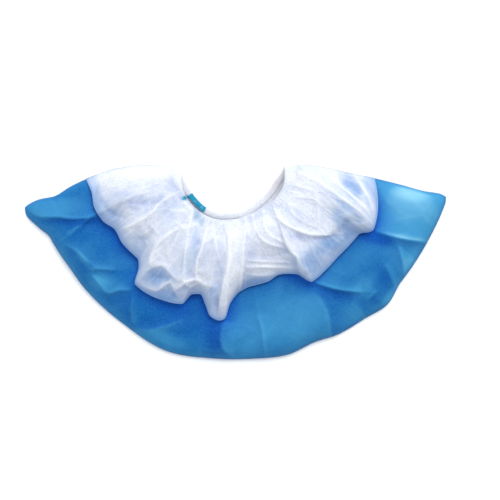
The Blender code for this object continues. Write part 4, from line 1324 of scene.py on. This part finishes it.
class COVER_OT_stage(bpy.types.Operator):
    """Set up the pale floor, the soft studio lights and the camera straight above"""
    bl_idname = "cover.stage"
    bl_label = "Studio"
    bl_options = {"REGISTER", "UNDO"}

    def execute(self, context):
        bpy.ops.object.select_all(action="DESELECT")
        bpy.ops.mesh.primitive_plane_add(size=FLOOR_SIZE, location=(0, 0, -FLOOR_DROP))
        floor = context.object
        floor.name = "floor"
        floor.data.materials.append(floor_paint("matt_white_paint", context.scene.cover_colours))
        for light in LIGHTS:
            bpy.ops.object.light_add(type="AREA", location=light.place)
            lamp = context.object
            lamp.name = light.name
            lamp.data.size = light.size
            lamp.data.energy = light.watts
            lamp.rotation_euler = (-Vector(light.place)).to_track_quat("-Z", "Y").to_euler()
        world = context.scene.world or bpy.data.worlds.new("studio")
        context.scene.world = world
        world.use_nodes = True
        background = world.node_tree.nodes["Background"]
        background.inputs["Color"].default_value = (*SKY_COLOUR, 1)
        background.inputs["Strength"].default_value = SKY_STRENGTH
        bpy.ops.object.camera_add(location=CAMERA_PLACE, rotation=(0, 0, 0))
        camera = context.object
        camera.data.lens = CAMERA_LENS
        camera.data.clip_start = CAMERA_NEAR
        context.scene.camera = camera
        context.scene.view_settings.view_transform = "Standard"
        return {"FINISHED"}


class COVER_OT_blue_web(bpy.types.Operator):
    """Make the blue film-coated web of the cover"""
    bl_idname = "cover.blue_web"
    bl_label = "Blue web"
    bl_options = {"REGISTER", "UNDO"}

    def execute(self, context):
        piece = finish_piece(make_blue_web(context.scene.cover_sizes), coated_blue,
                             "film_coated_nonwoven_blue", "blue_lower")
        return {"FINISHED"}


class COVER_OT_gathered_hem(bpy.types.Operator):
    """Make the gathered elastic edge of the opening"""
    bl_idname = "cover.gathered_hem"
    bl_label = "Gathered hem"
    bl_options = {"REGISTER", "UNDO"}

    def execute(self, context):
        finish_piece(make_hem(context.scene.cover_sizes), spunbond_white,
                     "spunbond_polypropylene_white", "elastic_hem")
        return {"FINISHED"}


class COVER_OT_collar_front(bpy.types.Operator):
    """Make the puffed white strip in front of the opening"""
    bl_idname = "cover.collar_front"
    bl_label = "White collar, front"
    bl_options = {"REGISTER", "UNDO"}

    def execute(self, context):
        piece = finish_piece(make_collar_front(context.scene.cover_sizes), spunbond_white,
                             "spunbond_polypropylene_white", "white_front")
        return {"FINISHED"}


class COVER_OT_collar_back(bpy.types.Operator):
    """Make the flat white strip behind the opening"""
    bl_idname = "cover.collar_back"
    bl_label = "White collar, back"
    bl_options = {"REGISTER", "UNDO"}

    def execute(self, context):
        piece = finish_piece(make_collar_back(context.scene.cover_sizes), spunbond_white,
                             "spunbond_polypropylene_white", "white_back")
        return {"FINISHED"}


class COVER_OT_elastic_end(bpy.types.Operator):
    """Make the teal end of the elastic that shows on the rim"""
    bl_idname = "cover.elastic_end"
    bl_label = "Elastic end"
    bl_options = {"REGISTER", "UNDO"}

    def execute(self, context):
        finish_piece(make_elastic_end(context.scene.cover_sizes), covered_elastic,
                     "covered_elastic_teal", "elastic_splice")
        return {"FINISHED"}


class VIEW3D_PT_shoe_cover(bpy.types.Panel):
    """Sizes, colours and pieces of the shoe cover"""
    bl_label = "Shoe cover"
    bl_space_type = "VIEW_3D"
    bl_region_type = "UI"
    bl_category = "Shoe cover"

    def draw(self, context):
        for group in (context.scene.cover_sizes, context.scene.cover_colours):
            column = self.layout.column(align=True)
            for name in group.__annotations__:
                column.prop(group, name)
        for operator in OPERATORS:
            self.layout.operator(operator.bl_idname)


OPERATORS = (COVER_OT_stage, COVER_OT_blue_web, COVER_OT_gathered_hem, COVER_OT_collar_front,
             COVER_OT_collar_back, COVER_OT_elastic_end)
CLASSES = (CoverSizes, CoverColours, *OPERATORS, VIEW3D_PT_shoe_cover)


def register():
    for one in CLASSES:
        bpy.utils.register_class(one)
    bpy.types.Scene.cover_sizes = bpy.props.PointerProperty(type=CoverSizes)
    bpy.types.Scene.cover_colours = bpy.props.PointerProperty(type=CoverColours)


def unregister():
    del bpy.types.Scene.cover_colours
    del bpy.types.Scene.cover_sizes
    for one in reversed(CLASSES):
        bpy.utils.unregister_class(one)


def main():
    register()
    bpy.ops.cover.stage()
    bpy.ops.cover.blue_web()
    bpy.ops.cover.gathered_hem()
    bpy.ops.cover.collar_front()
    bpy.ops.cover.collar_back()
    bpy.ops.cover.elastic_end()


if __name__ == "__main__":
    main()
